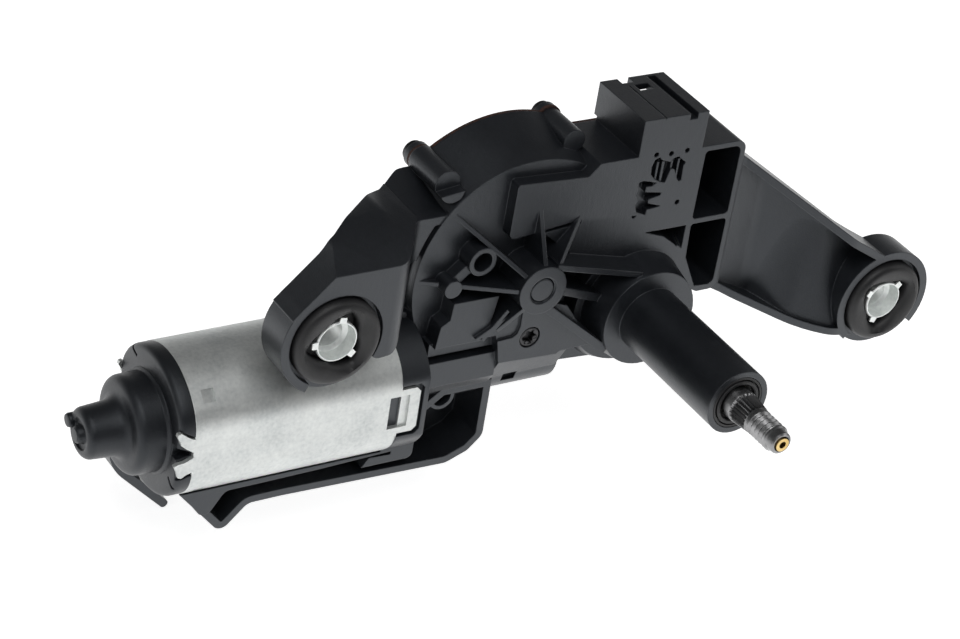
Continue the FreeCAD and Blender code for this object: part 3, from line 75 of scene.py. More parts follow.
# materials, each built from procedural noise in object space
class Nodes:
    """A short way to wire up one material."""

    def __init__(self, name):
        self.material = bpy.data.materials.new(name)
        self.material.use_nodes = True
        self.tree = self.material.node_tree
        self.shader = self.tree.nodes["Principled BSDF"]
        self.place = self.add("ShaderNodeTexCoord").outputs["Object"]

    def add(self, kind, **values):
        node = self.tree.nodes.new(kind)
        for key, value in values.items():
            setattr(node, key, value)
        return node

    def link(self, source, target):
        self.tree.links.new(source, target)

    def stretched(self, scale):
        mapping = self.add("ShaderNodeMapping")
        mapping.inputs["Scale"].default_value = scale
        self.link(self.place, mapping.inputs["Vector"])
        return mapping.outputs["Vector"]

    def noise(self, scale, detail=3.0, roughness=0.5, stretch=None):
        node = self.add("ShaderNodeTexNoise")
        node.inputs["Scale"].default_value = scale
        node.inputs["Detail"].default_value = detail
        node.inputs["Roughness"].default_value = roughness
        self.link(self.stretched(stretch) if stretch else self.place, node.inputs["Vector"])
        return node.outputs["Fac"]

    def cells(self, scale):
        node = self.add("ShaderNodeTexVoronoi", feature="F1")
        node.inputs["Scale"].default_value = scale
        self.link(self.place, node.inputs["Vector"])
        return node.outputs["Distance"]

    def ramp(self, source, stops):
        node = self.add("ShaderNodeValToRGB")
        elements = node.color_ramp.elements
        while len(elements) < len(stops):
            elements.new(0.5)
        for element, (position, colour) in zip(elements, stops):
            element.position = position
            element.color = tuple(colour) + (1.0,)
        self.link(source, node.inputs["Fac"])
        return node.outputs["Color"]

    def spread(self, source, low, high, from_low=0.0, from_high=1.0):
        node = self.add("ShaderNodeMapRange")
        node.inputs["From Min"].default_value = from_low
        node.inputs["From Max"].default_value = from_high
        node.inputs["To Min"].default_value = low
        node.inputs["To Max"].default_value = high
        self.link(source, node.inputs["Value"])
        return node.outputs["Result"]

    def mixed(self, factor, first, second):
        node = self.add("ShaderNodeMix", data_type="RGBA")
        for socket, value in (("Factor", factor), ("A", first), ("B", second)):
            target = [s for s in node.inputs if s.name == socket and s.enabled][0]
            if isinstance(value, (int, float)):
                target.default_value = value
            elif isinstance(value, tuple):
                target.default_value = value + (1.0,)
            else:
                self.link(value, target)
        return [s for s in node.outputs if s.enabled][0]

    def bump(self, source, distance, strength=1.0, below=None):
        node = self.add("ShaderNodeBump")
        node.inputs["Distance"].default_value = distance
        node.inputs["Strength"].default_value = strength
        self.link(source, node.inputs["Height"])
        if below is not None:
            self.link(below, node.inputs["Normal"])
        return node.outputs["Normal"]

    def soft_edges(self, radius):
        """A normal that rolls over sharp edges, so that they catch a thin line of light."""
        node = self.add("ShaderNodeBevel", samples=6)
        node.inputs["Radius"].default_value = radius
        return node.outputs["Normal"]

    def finish(self, **sockets):
        names = {"colour": "Base Color", "roughness": "Roughness", "metallic": "Metallic", "normal": "Normal",
                 "specular": "Specular IOR Level", "tint": "Specular Tint"}
        for key, value in sockets.items():
            target = self.shader.inputs[names[key]]
            if isinstance(value, tuple):
                target.default_value = value + (1.0,)
            elif isinstance(value, (int, float)):
                target.default_value = value
            else:
                self.link(value, target)
        return self.material


# moulded plastic: soft edges and grain in metres, and the tint of its gloss
EDGE_RADIUS, GRAIN = 0.00045, 0.00006
COOL_GLOSS = (0.89, 0.94, 1.0)


def moulded(name, dark, light, roughness, specular):
    """Glass-filled black plastic: fine grain, faint flow clouds, slightly uneven gloss."""
    m = Nodes(name)
    clouds = m.noise(38, 4.0, 0.6)
    fine = m.noise(2600, 2.0, 0.6)
    fibres = m.noise(900, 3.0, 0.7, stretch=(1.0, 0.6, 0.35))
    tone = m.mixed(0.35, clouds, fibres)
    colour = m.ramp(tone, [(0.3, dark), (0.7, light)])
    rough = m.spread(m.mixed(0.5, clouds, fine), roughness - 0.07, roughness + 0.09, 0.3, 0.7)
    edges = m.soft_edges(EDGE_RADIUS)
    normal = m.bump(fine, GRAIN, 0.7, m.bump(fibres, GRAIN * 1.6, 0.45, edges))
    return m.finish(colour=colour, roughness=rough, normal=normal, specular=specular, tint=COOL_GLOSS)


def rubber(name):
    """Soft black rubber with a fine skin."""
    m = Nodes(name)
    clouds = m.noise(60, 4.0, 0.6)
    fine = m.noise(1800, 2.0, 0.5)
    colour = m.ramp(clouds, [(0.3, (0.008, 0.008, 0.009)), (0.75, (0.017, 0.017, 0.018))])
    rough = m.spread(m.mixed(0.4, clouds, fine), 0.42, 0.62, 0.3, 0.7)
    return m.finish(colour=colour, roughness=rough, normal=m.bump(fine, 0.00004, 0.6))


def zinc(name, brightness=1.0):
    """Zinc-plated steel sheet: pale mottling, short scuffs along the drawing direction."""
    m = Nodes(name)
    clouds = m.noise(70, 5.0, 0.65)
    scuffs = m.noise(240, 4.0, 0.7, stretch=(0.25, 1.0, 1.0))
    grain = m.noise(1500, 3.0, 0.6)
    shade = m.mixed(0.5, clouds, m.mixed(0.4, m.noise(900, 2.0, 0.5), scuffs))
    tones = [(0.28, tuple(brightness * c for c in (0.46, 0.49, 0.49))),
             (0.5, tuple(brightness * c for c in (0.66, 0.68, 0.67))),
             (0.72, tuple(brightness * c for c in (0.80, 0.82, 0.80)))]
    rough = m.spread(m.mixed(0.5, scuffs, grain), 0.36, 0.58, 0.3, 0.7)
    normal = m.bump(grain, 0.00003, 0.5, m.bump(scuffs, 0.00008, 0.4))
    return m.finish(colour=m.ramp(shade, tones), roughness=rough, metallic=0.72, normal=normal)


def metal(name, dark, light, roughness):
    """Turned or sintered metal with fine marks and slight staining."""
    m = Nodes(name)
    clouds = m.noise(180, 4.0, 0.6)
    marks = m.noise(1400, 2.0, 0.6)
    rough = m.spread(m.mixed(0.5, clouds, marks), roughness - 0.08, roughness + 0.12, 0.3, 0.7)
    return m.finish(colour=m.ramp(clouds, [(0.3, dark), (0.7, light)]), roughness=rough, metallic=1.0,
                    normal=m.bump(marks, 0.00003, 0.5))


def plain(name, dark, light, roughness, scale=90):
    """Dull solid stuff such as ferrite, laminations, board or wheel plastic."""
    m = Nodes(name)
    clouds = m.noise(scale, 4.0, 0.6)
    fine = m.noise(scale * 12, 2.0, 0.6)
    rough = m.spread(clouds, roughness - 0.08, roughness + 0.08, 0.3, 0.7)
    return m.finish(colour=m.ramp(m.mixed(0.4, clouds, fine), [(0.3, dark), (0.7, light)]), roughness=rough,
                    normal=m.bump(fine, 0.00005, 0.5))


def gasket(name):
    """Brown cork rubber with darker specks."""
    m = Nodes(name)
    specks = m.cells(1300)
    clouds = m.noise(300, 3.0, 0.6)
    brown = m.ramp(clouds, [(0.3, (0.022, 0.010, 0.008)), (0.7, (0.075, 0.028, 0.018))])
    share = m.ramp(specks, [(0.2, (0.0, 0.0, 0.0)), (0.45, (1.0, 1.0, 1.0))])
    colour = m.mixed(share, (0.02, 0.012, 0.01), brown)
    return m.finish(colour=colour, roughness=0.8, normal=m.bump(specks, 0.00008, 0.7))


BLACK = moulded("black plastic", (0.0055, 0.0064, 0.0084), (0.0130, 0.0146, 0.0180), 0.38, 0.72)
CAP_BLACK = moulded("cap plastic", (0.0050, 0.0057, 0.0074), (0.0105, 0.0118, 0.0145), 0.42, 0.5)
RUBBER = rubber("rubber")
ZINC = zinc("zinc sheet")
SLEEVE = zinc("sleeve zinc", 1.3)
STEEL = metal("steel", (0.34, 0.34, 0.35), (0.52, 0.52, 0.53), 0.38)
BLACKENED = metal("blackened steel", (0.025, 0.025, 0.026), (0.075, 0.075, 0.078), 0.34)
OXIDE = metal("oxide steel", (0.14, 0.14, 0.143), (0.36, 0.36, 0.365), 0.30)
BRASS = metal("brass", (0.55, 0.38, 0.14), (0.80, 0.62, 0.30), 0.3)
BRONZE = metal("bronze", (0.42, 0.26, 0.12), (0.60, 0.40, 0.20), 0.45)
COPPER = metal("copper", (0.50, 0.20, 0.09), (0.74, 0.36, 0.18), 0.35)
SINTERED = metal("sintered steel", (0.20, 0.195, 0.19), (0.34, 0.33, 0.32), 0.5)
FERRITE = plain("ferrite", (0.03, 0.03, 0.032), (0.06, 0.06, 0.062), 0.6)
LAMINATION = plain("laminations", (0.16, 0.155, 0.15), (0.28, 0.275, 0.27), 0.55, 400)
BOARD = plain("board", (0.01, 0.08, 0.03), (0.02, 0.14, 0.06), 0.45)
WHEEL = plain("wheel plastic", (0.58, 0.54, 0.42), (0.72, 0.69, 0.58), 0.4)
CARBON = plain("carbon", (0.015, 0.015, 0.016), (0.035, 0.035, 0.036), 0.5)
GASKET = gasket("gasket")

LOOKS = {
    "gear_housing": BLACK, "rear_cover": BLACK, "washer_nipple": BLACK, "brush_holder": CAP_BLACK,
    "end_cap": CAP_BLACK, "cover_gasket": GASKET, "cover_screws": BLACKENED, "platform_screw": BLACKENED,
    "wheel_pin": BLACK, "wheel_clip": STEEL, "output_spindle": BLACKENED, "armature_shaft": STEEL,
    "armature_core": LAMINATION, "armature_windings": COPPER, "commutator": COPPER,
    "spindle_bush_front": BRONZE, "spindle_bush_rear": BRONZE, "nose_bearing": BRONZE, "mid_bearing": BRONZE,
    "end_bearing": BRONZE, "spindle_seal": RUBBER, "grommet_left": RUBBER, "grommet_right": RUBBER,
    "grommet_low": RUBBER, "washer_jet": BRASS, "connector_pins": BRASS, "circuit_board": BOARD,
    "board_parts": CAP_BLACK, "motor_can": ZINC, "sleeve_left": SLEEVE, "sleeve_right": SLEEVE,
    "sleeve_low": SLEEVE, "magnet_upper": FERRITE, "magnet_lower": FERRITE, "worm_wheel": WHEEL,
    "transfer_gear": SINTERED, "spindle_gear": SINTERED, "brushes": CARBON, "brush_springs": STEEL,
}
for name, node in NODES.items():
    node.data.materials.clear()
    node.data.materials.append(LOOKS[name])


# detail pieces; sizes are in millimetres, with X right, Y away, Z up and the spindle along -Y
MM = 0.001
HUB = (-38.803, 16.073)
MOTOR_Y, MOTOR_Z = 21.0, -16.227
CAN_LEFT, CAN_RIGHT = -146.6, -81.6
# x, z and front y of each mount
MOUNTS = {"left": (-110.0, 17.6, -7.0), "right": (85.6, -7.3, -7.0), "low": (-133.2, -41.0, 42.0)}
# angle in degrees above which an edge stays sharp, and welding distance in metres
CREASE = 35.0
WELD = 1e-6


def mesh_object(name, points, faces, material=None):
    """A mesh from millimetre points, welded and smooth up to the usual crease."""
    mesh = bpy.data.meshes.new(name)
    mesh.from_pydata([tuple(c * MM for c in point) for point in points], [], faces)
    bm = bmesh.new()
    bm.from_mesh(mesh)
    bmesh.ops.remove_doubles(bm, verts=bm.verts, dist=WELD)
    bmesh.ops.recalc_face_normals(bm, faces=bm.faces)
    bm.to_mesh(mesh)
    bm.free()
    mesh.shade_smooth()
    mesh.set_sharp_from_angle(angle=math.radians(CREASE))
    if material:
        mesh.materials.append(material)
    thing = bpy.data.objects.new(name, mesh)
    bpy.context.scene.collection.objects.link(thing)
    return thing


def prism(name, near, far):
    """A body between two outlines with as many points."""
    count = len(near)
    faces = [tuple(range(count)), tuple(range(2 * count - 1, count - 1, -1))]
    for index in range(count):
        after = (index + 1) % count
        faces.append((index, after, count + after, count + index))
    return mesh_object(name, near + far, faces)


def prism_along_y(name, outline, y0, y1):
    """An (x, z) outline carried from y0 to y1."""
    return prism(name, [(x, y0, z) for x, z in outline], [(x, y1, z) for x, z in outline])


def prism_along_x(name, outline, x0, x1):
    """A (y, z) outline carried from x0 to x1."""
    return prism(name, [(x0, y, z) for y, z in outline], [(x1, y, z) for y, z in outline])


def block(name, x0, x1, y0, y1, z0, z1):
    return prism_along_y(name, [(x0, z0), (x1, z0), (x1, z1), (x0, z1)], y0, y1)


def band_faces(rows, segments, closed=False):
    """Faces between neighbouring rings of points; a closed band joins the last ring to the first."""
    faces = []
    for row in range(rows if closed else rows - 1):
        low = row * segments
        high = (row + 1) % rows * segments
        for step in range(segments):
            after = (step + 1) % segments
            faces.append((low + step, low + after, high + after, high + step))
    return faces


def end_faces(rows, segments):
    return [tuple(range(segments)), tuple(range((rows - 1) * segments, rows * segments))]


def lathe_y(name, centre, rings, material=None, segments=96, closed=False, shape=None):
    """A skin turned about a line along Y; rings are (radius, y), shape may vary the radius with the angle."""
    cx, cz = centre
    points = []
    for radius, y in rings:
        for step in range(segments):
            angle = 2 * math.pi * step / segments
            r = shape(radius, y, angle) if shape else radius
            points.append((cx + r * math.cos(angle), y, cz + r * math.sin(angle)))
    faces = band_faces(len(rings), segments, closed)
    if not closed:
        faces += end_faces(len(rings), segments)
    return mesh_object(name, points, faces, material)


def combine(base, tools, operation):
    """Cut tools from a mesh or join them to it, and drop the tools."""
    for tool in tools:
        change = base.modifiers.new("change", "BOOLEAN")
        change.operation = operation
        change.solver = "EXACT"
        change.object = tool
    bpy.context.view_layer.update()
    graph = bpy.context.evaluated_depsgraph_get()
    result = bpy.data.meshes.new_from_object(base.evaluated_get(graph))
    base.modifiers.clear()
    base.data = result
    for tool in tools:
        bpy.data.objects.remove(tool)
    return base


def shade(thing, crease):
    thing.data.shade_smooth()
    thing.data.set_sharp_from_angle(angle=math.radians(crease))


def coat(thing, material):
    thing.data.materials.clear()
    thing.data.materials.append(material)


def copy_of(name, label, material):
    """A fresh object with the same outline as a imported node, to be worked further."""
    node = NODES[name]
    mesh = node.data.copy()
    mesh.name = label
    for extra in ("custom_normal", "sharp_edge", "sharp_face"):
        if extra in mesh.attributes:
            mesh.attributes.remove(mesh.attributes[extra])
    bm = bmesh.new()
    bm.from_mesh(mesh)
    bmesh.ops.remove_doubles(bm, verts=bm.verts, dist=2 * WELD)
    bm.to_mesh(mesh)
    bm.free()
    thing = bpy.data.objects.new(label, mesh)
    bpy.context.view_layer.update()
    thing.matrix_world = node.matrix_world.copy()
    bpy.context.scene.collection.objects.link(thing)
    mesh.materials.clear()
    mesh.materials.append(material)
    return thing


# front plane of the connector block and floor of its cores; the disc's cone
BLOCK_FRONT, CORE_FLOOR = 10.0, 12.3
DISC_RADIUS, CONE_START, CONE_GROWTH = 36.0, 14.0, 5.4 / 19.0


def smooth_step(value):
    value = min(1.0, max(0.0, value))
    return value * value * (3 - 2 * value)


def track(x, line):
    """Height of a bent line of (x, value) points at x."""
    for (x0, v0), (x1, v1) in zip(line, line[1:]):
        if x <= x1:
            return v0 + (v1 - v0) * max(0.0, x - x0) / (x1 - x0)
    return line[-1][1]


def arm_slope():
    """The right arm's web leans: shallow along its lower edge, deep along the upper one."""
    web = [(44.0, 13.6), (64.0, 4.6), (84.0, 3.9)]
    edge = [(33.0, 10.0), (68.0, -5.0), (84.0, -5.0)]
    upper = [(44.0, 34.2), (70.0, 15.4), (84.0, 6.2)]
    lower = [(44.0, -6.6), (59.0, -13.7), (72.3, -15.9), (84.0, -15.9)]
    columns, rows = 36, 24
    start_x, length = 44.0, 40.0
    rim_left, bite, thickness = 1.3, 0.3, 1.6
    # the lean starts later towards the upper edge, grows over a run and bulges slightly
    lag, run, bulge = 9.0, 11.0, 1.15
    front, rear = [], []
    for column in range(columns + 1):
        x = start_x + length * column / columns
        high, low = track(x, upper), track(x, lower)
        room = track(x, web) - track(x, edge) - rim_left
        for row in range(rows + 1):
            share = row / rows
            z = high + (low - high) * share
            lean = room * smooth_step((x - start_x - lag * (1 - share)) / run) * share ** bulge
            front.append((x, track(x, web) + bite - lean, z))
            rear.append((x, track(x, web) + thickness, z))
    count = len(front)
    faces = []
    line = rows + 1
    for column in range(columns):
        for row in range(rows):
            start = column * line + row
            faces.append((start, start + 1, start + line + 1, start + line))
            faces.append((count + start, count + start + line, count + start + line + 1, count + start + 1))
    rim = list(range(rows)) + [column * line + rows for column in range(columns)]
    rim += [columns * line + row for row in range(rows, 0, -1)]
    rim += [column * line for column in range(columns, 0, -1)]
    for index, start in enumerate(rim):
        after = rim[(index + 1) % len(rim)]
        faces.append((start, after, count + after, count + start))
    slope = mesh_object("arm_slope", front + rear, faces)
    ring_room = lathe_y("ring_room", MOUNTS["right"][:2], [(15.6, -20.0), (15.6, 30.0)])
    combine(slope, [ring_room], "DIFFERENCE")
    return slope


def housing_fill():
    """Bodies that close the coarse cores, the window's edge and the step, so that finer ones can be cut."""
    sill = [(-1.5, 24.0), (0.3, 23.6), (7.6, 21.0), (12.3, 17.4), (15.3, 14.2), (12.0, 14.0), (-2.0, 20.0)]
    return [block("fill", -6.5, 7.5, BLOCK_FRONT, 12.2, 30.2, 48.6),
            prism_along_y("window_sill", sill, BLOCK_FRONT, 15.5),
            block("barrel_step", -69.5, -47.0, 9.6, 15.0, -5.4, -1.0)]


def housing_cuts():
    """The lobed cores of the connector block, the step by the platform screw, the notch under the barrel."""
    upper = [(-1.1, 48.4), (0.5, 49.0), (1.2, 48.0), (4.5, 46.8), (5.6, 47.9), (7.3, 48.2), (8.1, 47.4),
             (10.2, 45.8), (9.6, 44.7), (9.8, 39.8), (8.8, 39.7), (8.0, 40.8), (6.4, 44.2), (5.2, 44.4),
             (4.0, 40.0), (2.1, 40.5), (0.0, 41.8), (-1.6, 43.5), (-1.9, 46.1)]
    lower = [(-5.3, 41.5), (-3.9, 41.8), (1.2, 40.4), (-0.3, 39.5), (-2.4, 39.6), (-2.5, 37.8), (3.5, 36.7),
             (3.3, 35.9), (-0.8, 35.1), (-0.7, 33.7), (4.1, 32.1), (-0.7, 31.6), (-0.9, 29.9), (-4.3, 31.4),
             (-5.2, 33.8), (-4.6, 35.1), (-5.5, 37.1), (-5.3, 39.0)]
    step = [(-60, -1.2), (-48, -1.9), (-43.4, -1.6), (-42.0, -0.6), (-41.3, 1.6), (-41.3, 8.0), (-60, 8.0)]
    return [prism_along_y("core", upper, 8.0, CORE_FLOOR), prism_along_y("core", lower, 8.0, CORE_FLOOR),
            prism_along_y("step", step, 5.0, 6.8), block("notch", -41.2, -36.6, 2.0, 13.0, -20.6, -17.4)]


def shoulder_room():
    """What is taken away where the left arm meets the disc: all but the disc's cone and the screw boss."""
    outline = [(6.0, 36.4), (14.4, 38.7), (33.2, 44.9), (33.2, 62), (6.0, 62)]
    room = prism_along_x("shoulder", outline, -80.4, -56.0)
    cone = [(DISC_RADIUS + CONE_GROWTH * (y - CONE_START), y) for y in (2.0, 36.0)]
    keep = [lathe_y("keep", HUB, cone),
            lathe_y("keep_boss", (-65.9, 46.8), [(4.25, 10.0), (4.25, 36.0)], segments=48)]
    return combine(room, keep, "DIFFERENCE")


def core_ribs():
    spans = ((0.2, 0.9), (2.0, 2.9), (5.2, 5.8), (7.6, 8.3))
    return [block("rib", x0, x1, 10.5, 12.8, 39.6, 47.2) for x0, x1 in spans]


def make_housing_skin():
    skin = copy_of("gear_housing", "housing_skin", BLACK)
    combine(skin, housing_fill(), "UNION")
    combine(skin, housing_cuts(), "DIFFERENCE")
    combine(skin, [shoulder_room()], "DIFFERENCE")
    plate = [(14.4, 36.0), (14.4, 38.68), (28.5, 43.3), (28.5, 40.7)]
    combine(skin, [prism_along_x("shoulder_plate", plate, -80.5, -66.0)], "UNION")
    combine(skin, core_ribs() + [arm_slope()], "UNION")
    # fine line along the top of the connector block, and the notch in its rear edge
    marks = [block("line", -0.2, 0.2, 8.0, 30.0, 61.6, 63.0),
             block("rear_notch", -1.2, 2.7, 31.6, 36.0, 57.0, 63.0)]
    combine(skin, marks, "DIFFERENCE")
    shade(skin, 32)
    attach(skin, "frame")
    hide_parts("gear_housing")


make_housing_skin()


# screw on the platform: sunk head with a six-lobed recess
def make_platform_screw():
    place = (-37.4, -2.7)
    rings = [(1.45, 14.5), (1.45, 8.6), (3.35, 8.6), (3.35, 6.7), (3.15, 6.3), (2.85, 6.15)]
    segments, lobes, middle, swing = 72, 6, 2.2, 0.42
    screw = lathe_y("platform_screw_skin", place, rings, segments=segments)
    star = []
    for step in range(segments):
        angle = 2 * math.pi * step / segments
        reach = middle + swing * math.cos(lobes * angle)
        star.append((place[0] + reach * math.cos(angle), place[1] + reach * math.sin(angle)))
    combine(screw, [prism_along_y("recess", star, 5.0, 8.1)], "DIFFERENCE")
    coat(screw, BLACKENED)
    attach(screw, "frame")
    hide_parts("platform_screw")


make_platform_screw()


# spindle end: knurled cone, thread and nose
SHAFT_RADIUS, THREAD_RADIUS = 5.0, 4.15
KNURL_FRONT, KNURL_REAR, KNURL_TEETH, KNURL_DEPTH = -55.6, -49.1, 24, 0.62
TAPER_REAR, TAPER_LENGTH, TAPER_DROP = -49.15, 6.4, 0.75
THREAD_FRONT, THREAD_REAR, THREAD_PITCH, THREAD_DEPTH = -64.9, -57.0, 1.75, 0.75
THREAD_LENGTH = 7.9


def spindle_shape(radius, y, angle):
    """The turned radius, less the grooves of the knurl or of the thread, which fade at their ends."""
    share = angle / (2 * math.pi)
    if KNURL_FRONT < y < KNURL_REAR:
        tooth = abs((angle * KNURL_TEETH / (2 * math.pi)) % 1.0 - 0.5) * 2
        fade = min(1.0, (y - KNURL_FRONT) / 0.8, (KNURL_REAR - y) / 0.5)
        return radius - KNURL_DEPTH * (1 - tooth) * max(0.0, fade)
    if THREAD_FRONT < y < THREAD_REAR:
        wave = abs((y / THREAD_PITCH - share) % 1.0 - 0.5) * 2
        fade = min(1.0, (y - THREAD_FRONT) / 0.5, (THREAD_REAR - y) / 0.5)
        return radius - THREAD_DEPTH * (1 - wave) * max(0.0, fade)
    return radius


def make_spindle():
    rings = [(2.5, 31.6), (SHAFT_RADIUS, 31.6), (SHAFT_RADIUS, -48.6), (4.75, -49.1)]
    steps = 14
    for step in range(steps + 1):
        rings.append((SHAFT_RADIUS - TAPER_DROP * step / steps, TAPER_REAR - TAPER_LENGTH * step / steps))
    rings += [(4.0, -55.7), (3.95, -56.2), (3.95, -56.9)]
    steps = 64
    for step in range(steps + 1):
        rings.append((THREAD_RADIUS, THREAD_REAR - THREAD_LENGTH * step / steps))
    rings += [(3.6, -65.3), (3.5, -66.4), (3.4, -67.5), (3.0, -67.9), (2.5, -67.9), (2.2, -67.2)]
    spindle = lathe_y("spindle_skin", (0, 0), rings, OXIDE, segments=192, closed=True, shape=spindle_shape)
    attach(spindle, "spindle")
    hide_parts("output_spindle")


make_spindle()


def make_seal():
    rings = [(8.35, -43.9), (8.35, -46.0), (8.2, -46.2), (7.6, -46.2), (7.5, -45.2), (7.2, -45.2),
             (7.1, -46.3), (6.9, -46.5), (6.2, -46.5), (5.9, -46.2), (5.75, -44.9), (5.05, -44.4),
             (5.05, -43.9)]
    seal = lathe_y("seal_skin", (0, 0), rings, RUBBER, closed=True)
    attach(seal, "frame")
    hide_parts("spindle_seal")


make_seal()


# rubber rings with three lobed openings, and the steel sleeves with their claws
OPENING_CORNER, OPENING_SIDE, OPENING_BULGE = 9.4, 6.5, 1.35


def lobed(angle, turn):
    """Radius of the three-cornered opening at an angle."""
    part = ((math.degrees(angle) - turn + 60.0) % 120.0) - 60.0
    share = abs(part) / 60.0
    return OPENING_SIDE + (OPENING_CORNER - OPENING_SIDE) * (1.0 - share) ** OPENING_BULGE


def make_rubber(name, turn):
    x, z, y = MOUNTS[name]
    bore, bore_floor = 6.4, 4.6
    # (share of the opening's radius, depth) from the inside out, then (radius, depth) around the outside
    lip = [(1.0, bore_floor), (1.0, 2.0), (1.08, 1.0), (1.22, 0.35)]
    outside = [(11.0, 0.0), (11.9, 0.1), (12.7, 0.55), (13.2, 1.3), (13.4, 2.3), (13.4, 4.3), (10.2, 4.3),
               (10.2, 7.7), (13.4, 7.7), (13.4, 9.8), (13.0, 11.0), (12.0, 11.8), (10.8, 12.0), (7.6, 12.0),
               (bore, 11.2)]
    segments = 120
    turns = [2 * math.pi * step / segments for step in range(segments)]
    rows = [[(bore, bore_floor)] * segments]
    rows += [[(lobed(angle, turn) * share, depth) for angle in turns] for share, depth in lip]
    rows += [[ring] * segments for ring in outside]
    points = []
    for row in rows:
        for angle, (radius, depth) in zip(turns, row):
            points.append((x + radius * math.cos(angle), y + depth, z + radius * math.sin(angle)))
    ring = mesh_object("rubber_" + name, points, band_faces(len(rows), segments, True), RUBBER)
    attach(ring, "frame")
    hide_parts("grommet_" + name)


def make_sleeve(name, claws):
    x, z, y = MOUNTS[name]
    profile = [(6.35, 12.4), (6.35, 1.9), (6.1, 1.6), (5.8, 1.6), (5.75, 1.9), (5.75, 6.0), (5.0, 6.6),
               (4.3, 6.8), (4.3, 12.4)]
    rings = [(radius, y + depth) for radius, depth in profile]
    sleeve = lathe_y("steel_sleeve_" + name, (x, z), rings, SLEEVE, closed=True)
    tabs = []
    for angle in claws:
        turn = math.radians(angle)
        along = (math.cos(turn), math.sin(turn))
        side = (-along[1], along[0])
        corners = []
        for reach, width in ((5.9, -1.2), (7.7, -1.0), (7.7, 1.0), (5.9, 1.2)):
            corners.append((x + along[0] * reach + side[0] * width, z + along[1] * reach + side[1] * width))
        tabs.append(prism_along_y("claw", corners, y + 1.5, y + 2.1))
    combine(sleeve, tabs, "UNION")
    coat(sleeve, SLEEVE)
    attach(sleeve, "frame")
    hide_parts("sleeve_" + name)


# turn of each opening and angles of each sleeve's claws, in degrees
FITTINGS = (("left", -53, (180, 81, -42)), ("right", 145, (45, 150, -110)), ("low", 90, (90, 210, 330)))
for mount_name, turn, claws in FITTINGS:
    make_rubber(mount_name, turn)
    make_sleeve(mount_name, claws)


# motor can and end cap: rounded double-D section, claws, latch tabs, dome and nose
def double_d(radius, flat, fillet):
    """The can's section as (y, z) points, with the flats blended into the round sides."""
    lean = math.sqrt((radius - fillet) ** 2 - (flat - fillet) ** 2)
    tangent = math.atan2(lean, flat - fillet)
    flat_steps, steps = 5, 14
    quarter = [(flat, lean * step / flat_steps) for step in range(flat_steps)]
    for step in range(steps + 1):
        angle = tangent * step / steps
        quarter.append((flat - fillet + fillet * math.cos(angle), lean + fillet * math.sin(angle)))
    for step in range(1, 2 * steps + 1):
        angle = tangent + (math.pi / 2 - tangent) * step / (2 * steps)
        quarter.append((radius * math.cos(angle), radius * math.sin(angle)))
    half = quarter + [(-y, z) for y, z in reversed(quarter[:-1])]
    whole = half + [(y, -z) for y, z in reversed(half[1:-1])]
    return [(MOTOR_Y + y, MOTOR_Z + z) for y, z in whole]


def loft_x(name, stations):
    """A closed body through sections of as many points along X: (x, section)."""
    rows, count = len(stations), len(stations[0][1])
    points = [(x, y, z) for x, section in stations for y, z in section]
    return mesh_object(name, points, end_faces(rows, count) + band_faces(rows, count))


def lathe_x(name, centre, rings, segments=96):
    """A closed skin turned about a line along X; rings are (radius, x)."""
    cy, cz = centre
    points = []
    for radius, x in rings:
        for step in range(segments):
            angle = 2 * math.pi * step / segments
            points.append((x, cy + radius * math.cos(angle), cz + radius * math.sin(angle)))
    return mesh_object(name, points, end_faces(len(rings), segments) + band_faces(len(rings), segments))


def dimple(angle):
    """A cutter for the pressed dimple at one angle about the motor's axis."""
    turn = math.radians(angle)
    across = (-math.sin(turn), math.cos(turn))
    corners = [(-143.4, 22.4), (-139.6, 22.4), (-139.6, 21.15), (-143.4, 21.7)]
    half_width = 1.95
    points = []
    for side in (-half_width, half_width):
        for x, radius in corners:
            points.append((x, MOTOR_Y + radius * math.cos(turn) + side * across[0],
                           MOTOR_Z + radius * math.sin(turn) + side * across[1]))
    faces = [(0, 1, 2, 3), (7, 6, 5, 4), (0, 4, 5, 1), (1, 5, 6, 2), (2, 6, 7, 3), (3, 7, 4, 0)]
    return mesh_object("dimple", points, faces)


# half sizes of the can's section, its sheet, and the latch tab's reach and half width
FLAT, ROUND, SHEET = 19.6, 21.8, 1.5
TAB_REACH, TAB_HALF = 6.2, 7.4


def span(centre, sign, near, far):
    """The stretch between two distances from a centre, on one side of it."""
    return sorted((centre + sign * near, centre + sign * far))


def can_cuts(reach):
    """The bore, the room beside the latch tabs, their corners, windows and steps, and the dimples."""
    cut = [prism_along_x("bore", double_d(ROUND - SHEET, FLAT - SHEET, 10.5), CAN_LEFT - 2, reach + 2)]
    front, rear = MOTOR_Y - 40, MOTOR_Y + 40
    low, high = MOTOR_Z - 5.3, MOTOR_Z + 5.4
    for sign in (-1, 1):
        cut.append(block("side", CAN_RIGHT, reach + 1, front, rear, *span(MOTOR_Z, sign, TAB_HALF, 40)))
        corner = [(reach - 1.5, MOTOR_Z + sign * (TAB_HALF + 0.1)),
                  (reach + 0.1, MOTOR_Z + sign * (TAB_HALF - 1.5)),
                  (reach + 1, MOTOR_Z + sign * (TAB_HALF + 1))]
        cut.append(prism_along_y("corner", corner, front, rear))
        window = span(MOTOR_Y, sign, FLAT - 4, FLAT + 2)
        cut.append(block("window", CAN_RIGHT - 3.6, CAN_RIGHT + 0.3, *window, low, high))
        step = span(MOTOR_Y, sign, FLAT - 0.8, FLAT + 2)
        cut.append(block("step", CAN_RIGHT, CAN_RIGHT + 2.8, *step, low, high))
    return cut + [dimple(133.5), dimple(-133.5)]


